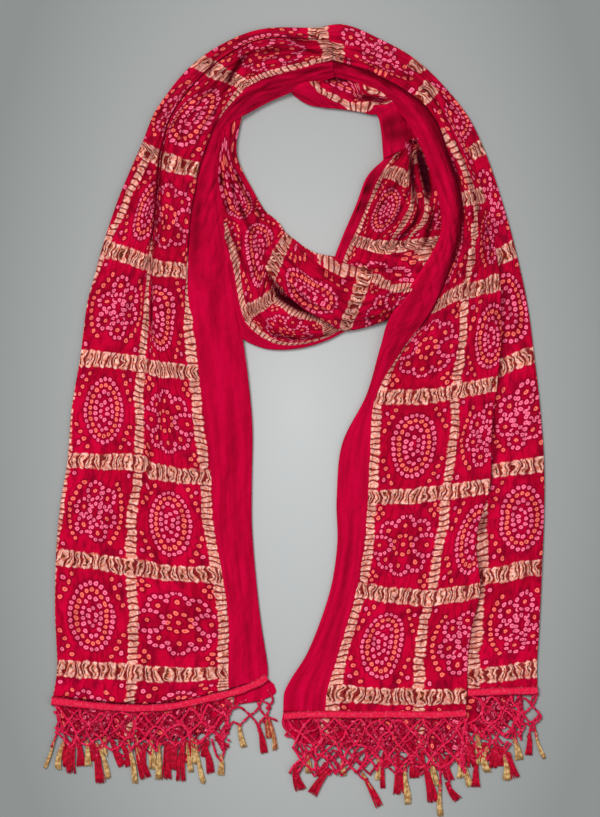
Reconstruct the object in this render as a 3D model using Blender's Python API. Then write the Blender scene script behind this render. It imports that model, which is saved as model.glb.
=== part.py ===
"""Dupatta stole laid out on a surface in one neck loop: both ends run down, side by side.

The cloth's stretches are lofts of rounded sections on a flat underside, charted in millimetres from above.
Chart places are (right, down): right of the chart's left edge and down from its top edge.
Every stretch is described by rows across it; each row has four places, from its outer side to its neck side,
and three heights: of the outer edge, of the crown and of the neck-side edge.
"""

from collections import namedtuple

import bmesh
import bpy
import numpy as np

MM = 0.001
CHART_CENTRE = (297.07, 419.2)    # chart place of the frame's origin
GAP = 0.3                        # clearance between neighbouring pieces
ACROSS_ENDS = 16                 # sections' points over an end's width
ACROSS_NECK = 12                 # the same round the neck
ACROSS_STRIP = 6                 # the same over a narrow strip
STEPS = 3                        # sections for each row of a chart
CUTTER_FLOOR, CUTTER_TOP = -10.0, 60.0

TAPE_WIDTH = 8.0
TAPE_SECTION = (2.2, 3.2, 3.6, 3.2, 2.2)   # heights across the tape
NET_DEPTH, NET_UNDER, NET_TOP = 36.0, 1.7, 3.2
UNDER_LAYER_TOP = 1.3
LEFT_BACKED, RIGHT_BACKED, PLEAT_BACKED = (0, 12), (0, 13), (2, 6)   # hem points that cloth shows behind
FRINGE_SPLAY = 0.5
TASSEL_TOP = 3.4
TASSEL_ROOT = 8.0                # depth of the solid band that joins the tassels' heads

Row = namedtuple("Row", "name outer second third inner outer_mm crown_mm inner_mm")
Fold = namedtuple("Fold", "name start stop rise half_width")   # start and stop are (row number, fraction across)
Finish = namedtuple("Finish", "colour roughness metallic")

LEFT_END = (
    Row("hem",            (53, 696),  (131, 703), (221, 691), (266, 677), 4.0, 6.0, 4.0),
    Row("first stripe",   (57, 668),  (132, 673), (223, 674), (267, 664), 4.0, 7.0, 4.0),
    Row("first cells",    (55, 612),  (134, 620), (223, 625), (261, 622), 4.0, 7.0, 4.0),
    Row("second stripe",  (56, 556),  (132, 567), (217, 575), (256, 578), 4.0, 7.0, 4.0),
    Row("second cells",   (61, 508),  (133, 516), (208, 524), (252, 526), 4.0, 7.0, 4.0),
    Row("third stripe",   (67, 460),  (140, 468), (206, 478), (252, 478), 4.0, 7.5, 4.0),
    Row("third cells",    (73, 409),  (140, 415), (200, 426), (251, 427), 4.5, 8.0, 4.5),
    Row("fourth stripe",  (81, 358),  (142, 365), (194, 373), (248, 375), 5.0, 9.0, 5.5),
    Row("fourth cells",   (90, 302),  (147, 315), (190, 322), (240, 322), 5.5, 11.0, 8.0),
    Row("fifth stripe",   (103, 248), (150, 262), (187, 275), (233, 270), 6.0, 13.0, 11.0),
    Row("fifth cells",    (119, 197), (156, 211), (191, 225), (226, 225), 7.0, 15.0, 13.0),
    Row("shoulder",       (140, 147), (161, 155), (199, 170), (219, 178), 8.0, 17.0, 14.0),
)

NECK_BACK = (
    Row("left shoulder",  (140, 147), (161, 155), (199, 170), (219, 178), 8.0, 17.0, 14.0),
    Row("left rise",      (150, 125), (171, 134), (206, 149), (219, 154), 8.0, 19.0, 14.0),
    Row("left turn",      (164, 99),  (183, 111), (213, 129), (230, 126), 8.0, 20.0, 14.0),
    Row("left crown",     (199, 59),  (214, 69),  (243, 87),  (257, 110), 8.0, 21.0, 13.0),
    Row("left top",       (250, 32),  (262, 48),  (279, 73),  (289, 94),  8.0, 22.0, 13.0),
    Row("crossing",       (308, 28),  (318, 42),  (328, 60),  (334, 78),  8.0, 22.0, 12.0),
    Row("lift",           (346, 24),  (348, 43),  (352, 63),  (352, 79),  8.0, 22.0, 12.0),
    Row("right top",      (380, 40),  (376, 54),  (373, 70),  (366, 84),  8.0, 22.0, 12.0),
    Row("right crown",    (424, 65),  (420, 80),  (415, 97),  (398, 109), 8.0, 21.0, 13.0),
    Row("right turn",     (446, 87),  (438, 97),  (427, 111), (408, 127), 8.0, 20.0, 14.0),
    Row("right shoulder", (463, 109), (452, 117), (439, 127), (417, 144), 8.0, 19.0, 15.0),
)

RIGHT_END = (
    Row("shoulder",       (452, 117), (446, 122), (439, 127), (417, 144), 13.0, 18.0, 15.0),
    Row("sixth stripe",   (484, 190), (472, 198), (458, 203), (438, 206), 10.0, 20.0, 16.0),
    Row("fifth cells",    (492, 232), (473, 240), (455, 243), (436, 244), 9.0, 19.0, 16.0),
    Row("fifth stripe",   (500, 284), (465, 294), (434, 303), (392, 313), 9.0, 14.0, 12.0),
    Row("fourth cells",   (502, 332), (461, 343), (403, 352), (379, 353), 8.5, 11.0, 8.0),
    Row("fourth stripe",  (495, 386), (457, 391), (380, 397), (366, 398), 8.0, 10.0, 5.5),
    Row("third cells",    (492, 438), (452, 444), (373, 446), (347, 442), 8.0, 9.0, 4.5),
    Row("third stripe",   (490, 488), (444, 495), (370, 498), (337, 498), 8.0, 9.0, 4.0),
    Row("second cells",   (482, 540), (440, 546), (369, 545), (337, 545), 8.0, 9.0, 4.0),
    Row("second stripe",  (480, 588), (430, 598), (362, 590), (329, 590), 7.5, 8.5, 4.0),
    Row("first cells",    (470, 641), (421, 645), (346, 645), (307, 652), 7.0, 8.0, 4.0),
    Row("first stripe",   (466, 692), (418, 695), (335, 694), (285, 692), 6.5, 7.5, 4.0),
    Row("hem",            (465, 707), (418, 710), (333, 710), (283, 709), 6.0, 7.0, 4.0),
)

RIGHT_PLEAT = (
    Row("shoulder",       (463, 109), (459, 112), (455, 115), (452, 117), 8.0, 12.0, 11.0),
    Row("sixth stripe",   (485, 149), (481, 152), (476, 155), (470, 160), 6.0, 11.0, 8.0),
    Row("fifth cells",    (503, 205), (498, 208), (492, 211), (486, 214), 5.0, 9.0, 7.0),
    Row("fifth stripe",   (514, 250), (507, 255), (500, 259), (492, 264), 4.5, 7.0, 6.0),
    Row("fourth cells",   (526, 303), (519, 308), (509, 312), (498, 316), 4.0, 6.5, 5.0),
    Row("fourth stripe",  (533, 355), (522, 361), (508, 366), (493, 372), 4.0, 6.0, 5.0),
    Row("third cells",    (540, 412), (524, 417), (507, 422), (489, 427), 4.0, 6.0, 5.0),
    Row("third stripe",   (544, 462), (526, 466), (507, 470), (486, 474), 4.0, 6.0, 5.0),
    Row("second cells",   (543, 515), (524, 519), (503, 523), (480, 527), 4.0, 6.0, 5.0),
    Row("second stripe",  (541, 567), (522, 572), (500, 577), (475, 582), 4.0, 6.0, 5.0),
    Row("first cells",    (539, 620), (518, 624), (494, 628), (467, 632), 4.0, 5.5, 4.5),
    Row("first stripe",   (537, 668), (516, 671), (492, 674), (464, 677), 4.0, 5.5, 4.0),
    Row("hem",            (537, 686), (516, 687), (492, 687), (468, 686), 4.0, 5.0, 4.0),
)

NECK_LOOP = (
    Row("under the left end",   (214, 150), (222, 140), (229, 132), (240, 119), 6.0, 11.0, 6.0),
    Row("left neck",            (210, 180), (218, 172), (227, 164), (237, 155), 7.0, 15.0, 7.0),
    Row("left side",            (213, 215), (223, 206), (234, 195), (247, 184), 7.0, 18.0, 7.0),
    Row("left hip",             (220, 256), (233, 241), (246, 225), (259, 208), 7.0, 20.0, 7.0),
    Row("left foot",            (228, 300), (243, 276), (257, 250), (271, 219), 7.0, 22.0, 7.0),
    Row("bottom left corner",   (240, 336), (256, 305), (270, 270), (283, 229), 6.0, 24.0, 7.0),
    Row("bottom left",          (274, 350), (281, 316), (289, 278), (298, 244), 5.0, 26.0, 7.0),
    Row("bottom",               (310, 347), (313, 316), (316, 284), (320, 255), 5.0, 27.0, 7.0),
    Row("bottom right",         (345, 331), (342, 305), (338, 280), (333, 256), 6.0, 27.0, 7.0),
    Row("right foot",           (378, 326), (366, 298), (354, 269), (342, 238), 7.0, 26.0, 7.0),
    Row("right hip",            (404, 308), (386, 278), (367, 247), (352, 217), 8.0, 25.0, 7.0),
    Row("right side",           (432, 274), (408, 248), (384, 219), (359, 198), 9.0, 24.0, 7.0),
    Row("right neck",           (448, 236), (421, 216), (394, 196), (368, 178), 9.0, 22.0, 8.0),
    Row("right collar",         (444, 196), (423, 186), (402, 175), (382, 161), 9.0, 19.0, 8.0),
    Row("under the right end",  (440, 168), (431, 159), (422, 150), (414, 141), 8.0, 15.0, 9.0),
)

NECK_BACK_UNDER = (
    Row("left tip",       (288, 86),  (289, 88),  (290, 91),  (291, 94),  5.0, 8.0, 5.0),
    Row("left",           (302, 76),  (303, 85),  (304, 94),  (306, 103), 7.0, 12.0, 5.0),
    Row("middle",         (338, 70),  (336, 82),  (333, 95),  (331, 107), 8.0, 13.0, 6.0),
    Row("right",          (372, 74),  (367, 86),  (362, 99),  (357, 112), 8.0, 13.0, 6.0),
    Row("turn",           (400, 96),  (393, 103), (385, 109), (377, 117), 8.0, 14.0, 7.0),
    Row("upright",        (412, 122), (402, 126), (391, 130), (381, 134), 8.0, 15.0, 7.0),
    Row("loop end",       (415, 141), (404, 147), (393, 153), (382, 159), 8.0, 15.0, 8.0),
)

FOLDS = {
    "left_end": (
        Fold("shadowed pleat crest", (5.2, 0.33), (11.4, 0.52), 3.2, 0.035),
        Fold("shadowed pleat foot",  (5.6, 0.41), (11.4, 0.60), -2.6, 0.035),
        Fold("plain border ridge",   (4.0, 0.86), (11.2, 0.80), 1.8, 0.04),
        Fold("fold edge roll",       (6.5, 0.10), (11.4, 0.20), 1.6, 0.05),
    ),
    "neck_back": (
        Fold("outer lane foot",      (-0.3, 0.44), (9.4, 0.36), -4.0, 0.06),
        Fold("stripe lane foot",     (2.0, 0.64), (6.6, 0.70), -2.2, 0.05),
        Fold("plain border roll",    (-0.3, 0.84), (9.4, 0.84), 2.4, 0.08),
    ),
    "right_end": (
        Fold("plain border roll",    (-0.8, 0.86), (3.8, 0.86), 6.0, 0.12),
        Fold("roll's foot",          (-0.4, 0.62), (4.2, 0.70), -6.0, 0.06),
        Fold("stripe ridge",         (0.2, 0.28), (5.0, 0.30), 2.0, 0.06),
        Fold("pleat crest",          (1.0, 0.06), (12.6, 0.05), 1.6, 0.05),
        Fold("border ridge",         (5.0, 0.88), (12.0, 0.84), 1.4, 0.05),
    ),
    "right_pleat": (
        Fold("outer ridge",          (0.5, 0.35), (6.0, 0.40), 1.5, 0.12),
    ),
    "neck_loop": (
        Fold("fold gap",             (4.6, 0.62), (7.6, 0.26), -9.0, 0.07),
        Fold("medallion fold",       (4.2, 0.78), (11.0, 0.55), 3.5, 0.14),
        Fold("border fold",          (8.6, 0.84), (13.6, 0.80), -3.0, 0.06),
        Fold("collar fold",          (9.5, 0.35), (13.6, 0.45), 3.0, 0.10),
    ),
    "neck_back_under": (),
}

# How far each tassel's foot lies below the net, from the piece's outer side to its neck side.
LEFT_TASSEL_REACH = (24, 26, 20, 30, 34, 27, 34, 30, 26, 28, 34, 30, 34, 30, 32, 22, 20, 20, 10)
RIGHT_TASSEL_REACH = (46, 62, 48, 50, 44, 48, 20, 18, 20, 20, 34, 38, 16)
PLEAT_TASSEL_REACH = (26, 24, 32, 36, 34, 26)

CRIMSON = Finish((0.52, 0.005, 0.04, 1.0), 0.7, 0.0)
PLAIN_CRIMSON = Finish((0.48, 0.0, 0.04, 1.0), 0.75, 0.0)
TAPE_RED = Finish((0.72, 0.015, 0.07, 1.0), 0.55, 0.0)
NET_RED = Finish((0.5, 0.01, 0.06, 1.0), 0.6, 0.0)
TASSEL_RED = Finish((0.45, 0.005, 0.05, 1.0), 0.5, 0.0)


def start_collections():
    """Empties the scene and returns the collection of the stole's pieces and that of the cutters."""
    for item in list(bpy.data.objects):
        bpy.data.objects.remove(item, do_unlink=True)
    made = []
    for name in ("dupatta_stole", "cutters"):
        collection = bpy.data.collections.new(name)
        bpy.context.scene.collection.children.link(collection)
        made.append(collection)
    return made


def curve_through(points, steps):
    """Catmull-Rom curve through the points of the first axis, with this many steps between neighbours."""
    before = 2 * points[:1] - points[1:2]
    after = 2 * points[-1:] - points[-2:-1]
    padded = np.concatenate([before, points, after])
    at = np.linspace(0, len(points) - 1, (len(points) - 1) * steps + 1)
    span = np.minimum(at.astype(int), len(points) - 2)
    u = (at - span).reshape((-1,) + (1,) * (points.ndim - 1))
    a, b, c, d = (padded[span + k] for k in range(4))
    return 0.5 * (2 * b + (c - a) * u + (2 * a - 5 * b + 4 * c - d) * u**2 + (3 * b - a - 3 * c + d) * u**3)


def spread_across(rails, count):
    """Points over each row's width, closer together at its two sides, on the curve through its rails."""
    even = np.linspace(0, 1, count)
    share = 0.5 * even + 0.25 * (1 - np.cos(np.pi * even))
    fine_steps = 24
    fine = curve_through(np.swapaxes(rails, 0, 1), fine_steps)
    at = share * (len(fine) - 1)
    low = np.minimum(at.astype(int), len(fine) - 2)
    part = (at - low).reshape(-1, 1, 1)
    return share, np.swapaxes(fine[low] * (1 - part) + fine[low + 1] * part, 0, 1)


def moved_ends(plan, distance):
    """The plan grid with its first and last rows moved outwards along the stretch by a distance."""
    plan = plan.copy()
    for end, beside in ((0, 1), (-1, -2)):
        away = plan[end] - plan[beside]
        plan[end] += distance * away / np.linalg.norm(away, axis=1, keepdims=True)
    return plan


def moved_sides(plan, distance):
    """The plan grid with its outer and inner sides moved outwards across the stretch by a distance."""
    return np.swapaxes(moved_ends(np.swapaxes(plan, 0, 1), distance), 0, 1)


def fold_heights(folds, rows_at, share):
    """Sum of the folds: each is a bell across its line, with a sine for its fading towards both ends."""
    heights = np.zeros((len(rows_at), len(share)))
    for fold in folds:
        along = np.clip((rows_at - fold.start[0]) / (fold.stop[0] - fold.start[0]), 0, 1)[:, None]
        centre = fold.start[1] + (fold.stop[1] - fold.start[1]) * along
        bell = np.exp(-(((share[None, :] - centre) / fold.half_width) ** 2))
        heights += fold.rise * np.sqrt(np.sin(np.pi * along)) * bell
    return heights


def section_heights(rows, share, folds):
    """Heights over the plan grid: edges joined by a straight line, a rounded crown on it, then the folds."""
    heights = np.array([(row.outer_mm, row.crown_mm, row.inner_mm) for row in rows])
    outer, crown, inner = curve_through(heights, STEPS).T[:, :, None]
    line = outer * (1 - share) + inner * share
    rounded = np.sqrt(np.clip(4 * share * (1 - share), 0, 1))
    top = line + (crown - 0.5 * (outer + inner)) * rounded
    rows_at = np.linspace(0, len(rows) - 1, len(top))
    sides_clear = np.clip(8 * share * (1 - share), 0, 1)
    return top + fold_heights(folds, rows_at, share) * sides_clear


def plan_of(rows, count):
    """Fractions across and the plan grid of a stretch, from its chart."""
    rails = np.array([(row.outer, row.second, row.third, row.inner) for row in rows], float)
    return spread_across(curve_through(rails, STEPS), count)


def closed_mesh(name, plan, top, floor):
    """Closed body: a grid of top faces, four walls, and a flat bottom that follows the grid's rim."""
    rows, columns = top.shape
    right = (plan[..., 0] - CHART_CENTRE[0]) * MM
    away = (CHART_CENTRE[1] - plan[..., 1]) * MM
    grid = np.stack([right, away, top * MM], axis=-1).reshape(-1, 3)
    index = np.arange(rows * columns).reshape(rows, columns)
    rim = np.concatenate([index[0, :-1], index[:-1, -1], index[-1, :0:-1], index[:0:-1, 0]])
    feet = grid[rim].copy()
    feet[:, 2] = np.broadcast_to(floor, top.shape).reshape(-1)[rim] * MM
    foot = len(grid) + np.arange(len(rim))
    faces = [
        (int(index[i, j]), int(index[i, j + 1]), int(index[i + 1, j + 1]), int(index[i + 1, j]))
        for i in range(rows - 1)
        for j in range(columns - 1)
    ]
    for k, start in enumerate(rim):
        after = (k + 1) % len(rim)
        faces.append((int(start), int(foot[k]), int(foot[after]), int(rim[after])))
    faces.append(tuple(int(k) for k in foot))
    mesh = bpy.data.meshes.new(name)
    mesh.from_pydata(np.concatenate([grid, feet]).tolist(), [], faces)
    body = bmesh.new()
    body.from_mesh(mesh)
    bmesh.ops.recalc_face_normals(body, faces=body.faces)
    body.to_mesh(mesh)
    body.free()
    mesh.shade_smooth()
    return mesh


def finish_material(name, finish):
    """Principled material with one colour, roughness and metallic value."""
    material = bpy.data.materials.new(name)
    material.use_nodes = True
    shader = material.node_tree.nodes["Principled BSDF"]
    shader.inputs["Base Color"].default_value = finish.colour
    shader.inputs["Roughness"].default_value = finish.roughness
    shader.inputs["Metallic"].default_value = finish.metallic
    return material


def add_piece(pieces, name, plan, top, floor, finish):
    """Links one named piece of the stole, with its own material."""
    piece = bpy.data.objects.new(name, closed_mesh(name, plan, top, floor))
    piece.data.materials.append(finish_material(name, finish))
    pieces.objects.link(piece)
    return piece


def add_stretch(pieces, name, rows, count, finish):
    """One stretch of cloth, drawn back by half a gap at both ends so that the next stretch has room."""
    share, plan = plan_of(rows, count)
    top = section_heights(rows, share, FOLDS[name])
    return add_piece(pieces, name, moved_ends(plan, -0.5 * GAP), top, 0.0, finish), plan


def add_cutter(cutters, name, plan):
    """A block over a stretch's plan, wider all round by the gap, which makes room for that stretch."""
    wide = moved_sides(moved_ends(plan, GAP), GAP)
    tall = np.full(plan.shape[:2], CUTTER_TOP)
    cutter = bpy.data.objects.new(name, closed_mesh(name, wide, tall, CUTTER_FLOOR))
    cutter.hide_render = True
    cutter.display_type = "WIRE"
    cutters.objects.link(cutter)
    return cutter


def cut(piece, cutter):
    """Takes the cutter's room out of a piece."""
    room = piece.modifiers.new(cutter.name, "BOOLEAN")
    room.operation = "DIFFERENCE"
    room.object = cutter


def outward_of_hem(hem):
    """Unit directions of the fringe: down the chart, splayed a little towards the hem line's own normal."""
    along = np.gradient(hem, axis=0)
    along /= np.linalg.norm(along, axis=1, keepdims=True)
    across = np.stack([-along[:, 1], along[:, 0]], axis=1) * np.sign(along[:, :1])
    fringe = FRINGE_SPLAY * across + (1 - FRINGE_SPLAY) * np.array([0.0, 1.0])
    return fringe / np.linalg.norm(fringe, axis=1, keepdims=True)


def band_below(hem, start, stop, count):
    """Plan grid of a band that follows the hem, between two depths below it."""
    outward = outward_of_hem(hem)
    start, stop = (np.broadcast_to(depth, len(hem))[:, None] for depth in (start, stop))
    shares = np.linspace(0, 1, count)[None, :, None]
    return hem[:, None, :] + outward[:, None, :] * ((1 - shares) * start[:, None] + shares * stop[:, None])


def add_hem_tape(pieces, name, hem):
    """Rounded braid sewn along the cloth's cut end."""
    plan = band_below(hem, GAP, GAP + TAPE_WIDTH, len(TAPE_SECTION))
    add_piece(pieces, name, plan, np.broadcast_to(TAPE_SECTION, plan.shape[:2]), 0.0, TAPE_RED)


def add_net(pieces, name, hem):
    """Reach of the knotted net that hangs from the tape."""
    start = TAPE_WIDTH + 2 * GAP
    plan = band_below(hem, start, start + NET_DEPTH, 3)
    add_piece(pieces, name, plan, np.full(plan.shape[:2], NET_TOP), NET_UNDER, NET_RED)


def add_under_layer(pieces, name, hem, backed):
    """Printed cloth of the turned-under half, which shows below the tape behind the net."""
    first, last = backed
    start = TAPE_WIDTH + 2 * GAP
    plan = band_below(hem, start, start + NET_DEPTH, 3)[first:last]
    add_piece(pieces, name, plan, np.full(plan.shape[:2], UNDER_LAYER_TOP), 0.0, CRIMSON)


def add_tassels(pieces, name, hem, reaches):
    """Reach of a row of tassels: one point for each foot, with a notch between two feet."""
    notch_share = 0.5
    reaches = np.array(reaches, float)
    depths = np.empty(2 * len(reaches) + 1)
    depths[1::2] = reaches
    notches = np.minimum(reaches[:-1], reaches[1:]) * notch_share
    depths[0], depths[2:-1:2], depths[-1] = reaches[0] * notch_share, notches, reaches[-1] * notch_share
    at = np.linspace(0, len(hem) - 1, len(depths))
    line = np.stack([np.interp(at, np.arange(len(hem)), hem[:, k]) for k in (0, 1)], axis=1)
    start = TAPE_WIDTH + NET_DEPTH + 3 * GAP
    plan = band_below(line, start, start + np.maximum(depths, TASSEL_ROOT), 2)
    add_piece(pieces, name, plan, np.full(plan.shape[:2], TASSEL_TOP), 0.0, TASSEL_RED)


def add_fringe(pieces, side, hem, reaches, backed):
    """Tape, turned-under cloth, net and tassels of one hem; backed gives the hem points that cloth shows behind."""
    add_hem_tape(pieces, side + "_hem_tape", hem)
    add_under_layer(pieces, side + "_under_layer", hem, backed)
    add_net(pieces, side + "_net_fringe", hem)
    add_tassels(pieces, side + "_tassels", hem, reaches)


def main():
    pieces, cutters = start_collections()
    _, left_plan = add_stretch(pieces, "left_end", LEFT_END, ACROSS_ENDS, CRIMSON)
    _, back_plan = add_stretch(pieces, "neck_back", NECK_BACK, ACROSS_NECK, CRIMSON)
    _, right_plan = add_stretch(pieces, "right_end", RIGHT_END, ACROSS_ENDS, CRIMSON)
    pleat, pleat_plan = add_stretch(pieces, "right_pleat", RIGHT_PLEAT, ACROSS_STRIP, CRIMSON)
    loop, loop_plan = add_stretch(pieces, "neck_loop", NECK_LOOP, ACROSS_NECK, CRIMSON)
    under, _ = add_stretch(pieces, "neck_back_under", NECK_BACK_UNDER, ACROSS_STRIP, PLAIN_CRIMSON)

    left_room = add_cutter(cutters, "room_for_left_end", left_plan)
    back_room = add_cutter(cutters, "room_for_neck_back", back_plan)
    right_room = add_cutter(cutters, "room_for_right_end", right_plan)
    loop_room = add_cutter(cutters, "room_for_neck_loop", loop_plan)
    cut(pleat, right_room)
    for room in (left_room, back_room, right_room):
        cut(loop, room)
    for room in (back_room, right_room, loop_room):
        cut(under, room)

    add_fringe(pieces, "left", left_plan[0], LEFT_TASSEL_REACH, LEFT_BACKED)
    add_fringe(pieces, "right", right_plan[-1], RIGHT_TASSEL_REACH, RIGHT_BACKED)
    add_fringe(pieces, "right_pleat", pleat_plan[-1], PLEAT_TASSEL_REACH, PLEAT_BACKED)


main()
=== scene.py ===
"""Looks of a dupatta stole that lies on a floor in one neck loop, with both ends down, side by side.

Every length is in millimetres of real size until a mesh is made. A chart place is (right, down) from the top
left corner of a chart that looks straight down on the stole; CHART_CENTRE is the chart place of the frame's
origin. Print places are (across, along) on the flat cloth: across from its plain edge, along from its hem.
"""

import math
from collections import namedtuple

import bpy
import numpy as np
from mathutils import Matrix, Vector


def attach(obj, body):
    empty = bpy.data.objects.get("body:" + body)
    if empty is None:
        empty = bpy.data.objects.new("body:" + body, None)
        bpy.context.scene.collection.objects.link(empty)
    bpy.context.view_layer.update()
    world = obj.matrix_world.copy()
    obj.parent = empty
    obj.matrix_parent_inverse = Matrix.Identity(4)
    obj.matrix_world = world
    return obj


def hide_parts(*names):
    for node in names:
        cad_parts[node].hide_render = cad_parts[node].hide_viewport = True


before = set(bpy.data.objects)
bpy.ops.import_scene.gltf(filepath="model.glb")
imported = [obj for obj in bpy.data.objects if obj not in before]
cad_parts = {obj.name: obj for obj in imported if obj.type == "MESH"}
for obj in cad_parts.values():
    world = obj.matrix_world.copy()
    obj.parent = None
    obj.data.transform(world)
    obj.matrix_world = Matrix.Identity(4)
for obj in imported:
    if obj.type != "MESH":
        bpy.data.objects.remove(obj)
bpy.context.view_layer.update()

MM = 0.001                        # metres in a millimetre
TO_MM = 1000.0
CHART_CENTRE = (297.07, 419.2)

# The print: cells between zari lines and zari stripes.
BORDER = 45.0                     # plain border along the cloth's long edge
LINE = 12.5                       # width of the zari line beside the border
INNER_LINE = 10.5                 # width of the other zari lines
STRIPE = 17.0                     # depth of a zari stripe across the cloth
CELL_WIDE, CELL_TALL = 80.0, 104.0
FIRST_LINE = BORDER + 0.5 * LINE
STRIPE_TUFT, LINE_TUFT = 8.6, 6.2  # length of one tuft of zari


# ---------------------------------------------------------------- shader maths

class Field:
    """A node's output. Arithmetic on it adds Math nodes to the same material."""

    def __init__(self, paint, socket):
        self.paint, self.socket = paint, socket

    def __add__(self, other):
        return self.paint.maths("ADD", self, other)

    __radd__ = __add__

    def __sub__(self, other):
        return self.paint.maths("SUBTRACT", self, other)

    def __rsub__(self, other):
        return self.paint.maths("SUBTRACT", other, self)

    def __mul__(self, other):
        return self.paint.maths("MULTIPLY", self, other)

    __rmul__ = __mul__

    def __truediv__(self, other):
        return self.paint.maths("DIVIDE", self, other)

    def __rtruediv__(self, other):
        return self.paint.maths("DIVIDE", other, self)

    def __mod__(self, other):
        return self.paint.maths("FLOORED_MODULO", self, other)

    def __abs__(self):
        return self.paint.maths("ABSOLUTE", self)

    def __gt__(self, other):
        return self.paint.maths("GREATER_THAN", self, other)

    def __lt__(self, other):
        return self.paint.maths("LESS_THAN", self, other)


class Paint:
    """Makes one material round its Principled shader."""

    def __init__(self, name):
        self.material = bpy.data.materials.new(name)
        self.material.use_nodes = True
        self.tree = self.material.node_tree
        self.shader = self.tree.nodes["Principled BSDF"]

    def plug(self, value, socket):
        """Links a field to a socket, or sets the socket to a plain value."""
        if isinstance(value, Field):
            self.tree.links.new(value.socket, socket)
        else:
            socket.default_value = value

    def node(self, kind, settings, sockets):
        """Any node: its type, its settings, then the values or links of its sockets."""
        made = self.tree.nodes.new(kind)
        for name, value in settings.items():
            setattr(made, name, value)
        for key, value in sockets.items():
            self.plug(value, made.inputs[key])
        return made

    def maths(self, operation, *values):
        made = self.node("ShaderNodeMath", {"operation": operation}, dict(enumerate(values)))
        return Field(self, made.outputs[0])

    def least(self, *values):
        found = values[0]
        for value in values[1:]:
            found = self.maths("MINIMUM", found, value)
        return found

    def most(self, a, b):
        return self.maths("MAXIMUM", a, b)

    def sine(self, a):
        return self.maths("SINE", a)

    def cosine(self, a):
        return self.maths("COSINE", a)

    def span(self, a, b):
        """Length of the vector (a, b)."""
        pair = self.node("ShaderNodeCombineXYZ", {}, {0: a, 1: b})
        length = self.node("ShaderNodeVectorMath", {"operation": "LENGTH"}, {0: Field(self, pair.outputs[0])})
        return Field(self, length.outputs["Value"])

    def rise(self, value, low, high):
        """0 below low, 1 above high, with a smooth step between them."""
        made = self.node(
            "ShaderNodeMapRange",
            {"interpolation_type": "SMOOTHSTEP"},
            {"Value": value, "From Min": low, "From Max": high, "To Min": 0.0, "To Max": 1.0},
        )
        return Field(self, made.outputs["Result"])

    def vector(self, operation, a, b):
        made = self.node("ShaderNodeVectorMath", {"operation": operation}, {0: a, 1: b})
        return Field(self, made.outputs["Vector"])

    def scaled(self, a, factor):
        made = self.node("ShaderNodeVectorMath", {"operation": "SCALE"}, {0: a, "Scale": factor})
        return Field(self, made.outputs["Vector"])

    def parts(self, a):
        made = self.node("ShaderNodeSeparateXYZ", {}, {0: a})
        return [Field(self, socket) for socket in made.outputs]

    def noise(self, at, scale, detail):
        made = self.node("ShaderNodeTexNoise", {}, {"Vector": at, "Scale": scale, "Detail": detail})
        return Field(self, made.outputs["Fac"])

    def long_noise(self, at, share, scale, detail):
        """Noise drawn out along the cloth: places along it count for only a share."""
        return self.noise(self.vector("MULTIPLY", at, (1.0, share, 1.0)), scale, detail)

    def noise_vector(self, at, scale, detail):
        """Noise in three directions, each about 0."""
        made = self.node("ShaderNodeTexNoise", {}, {"Vector": at, "Scale": scale, "Detail": detail})
        return self.vector("SUBTRACT", Field(self, made.outputs["Color"]), (0.5, 0.5, 0.5))

    def blend(self, factor, a, b, kind="MIX"):
        made = self.node(
            "ShaderNodeMix", {"data_type": "RGBA", "blend_type": kind}, {0: factor, 6: a, 7: b}
        )
        return Field(self, made.outputs[2])

    def uv(self, name):
        return Field(self, self.node("ShaderNodeUVMap", {"uv_map": name}, {}).outputs["UV"])

    def place(self):
        return Field(self, self.node("ShaderNodeTexCoord", {}, {}).outputs["Object"])

    def bump(self, height, distance, strength):
        made = self.node("ShaderNodeBump", {}, {"Height": height, "Distance": distance, "Strength": strength})
        return Field(self, made.outputs["Normal"])

    def finish(self, **sockets):
        """Sets or links the shader's own sockets; a name's underscores stand for spaces."""
        for name, value in sockets.items():
            self.plug(value, self.shader.inputs[name.replace("_", " ")])
        return self.material


def rgb(red, green, blue):
    """Colour of a screen value from 0 to 255, or a little brighter, as linear light."""
    parts = np.array([red, green, blue]) / 255
    linear = np.where(parts <= 0.04045, parts / 12.92, ((parts + 0.055) / 1.055) ** 2.4)
    return (*map(float, linear), 1.0)


# ---------------------------------------------------------------- the print

FAR = 100.0                       # added to a distance where its dots are left out

# Dyes and threads, with painted light and shade. Two together run from deep to bright; a dot's four are deep,
# bright, its rim and its middle. The ground's shade is painted shade inside the motifs, round the raised dots
# and in pucker patches. The border's pair is its crimson with painted light and shade of its fine pleats, the
# zari's bright end is a painted glint, its dark marks are painted shade in its crinkles, and the fold, tuck
# and deep shades are painted shade in folds, over tucks and in the deepest hollows.
GROUND = rgb(192, 0, 42), rgb(216, 0, 56)
GROUND_SHADE, GROUND_GRAIN = rgb(112, 0, 30), rgb(150, 0, 32)
BORDER_DYE_AND_PLEAT_SHADE = rgb(172, 0, 42), rgb(208, 0, 58)
PINK_DOT = rgb(240, 44, 98), rgb(258, 78, 126), rgb(276, 146, 176), rgb(214, 24, 84)
ORANGE_DOT = rgb(238, 48, 54), rgb(260, 84, 78), rgb(276, 148, 128), rgb(206, 20, 36)
ZARI_AND_GLINT = rgb(228, 124, 98), rgb(272, 214, 198)
ZARI_TUFT_SHADE = rgb(88, 28, 6), rgb(154, 74, 36)
ZARI_GAP, ZARI_STAIN = rgb(132, 8, 18), rgb(172, 20, 46)
FOLD_SHADE, TUCK_SHADE, DEEP_SHADE = rgb(118, 40, 72), rgb(116, 0, 24), rgb(40, 0, 9)


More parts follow.
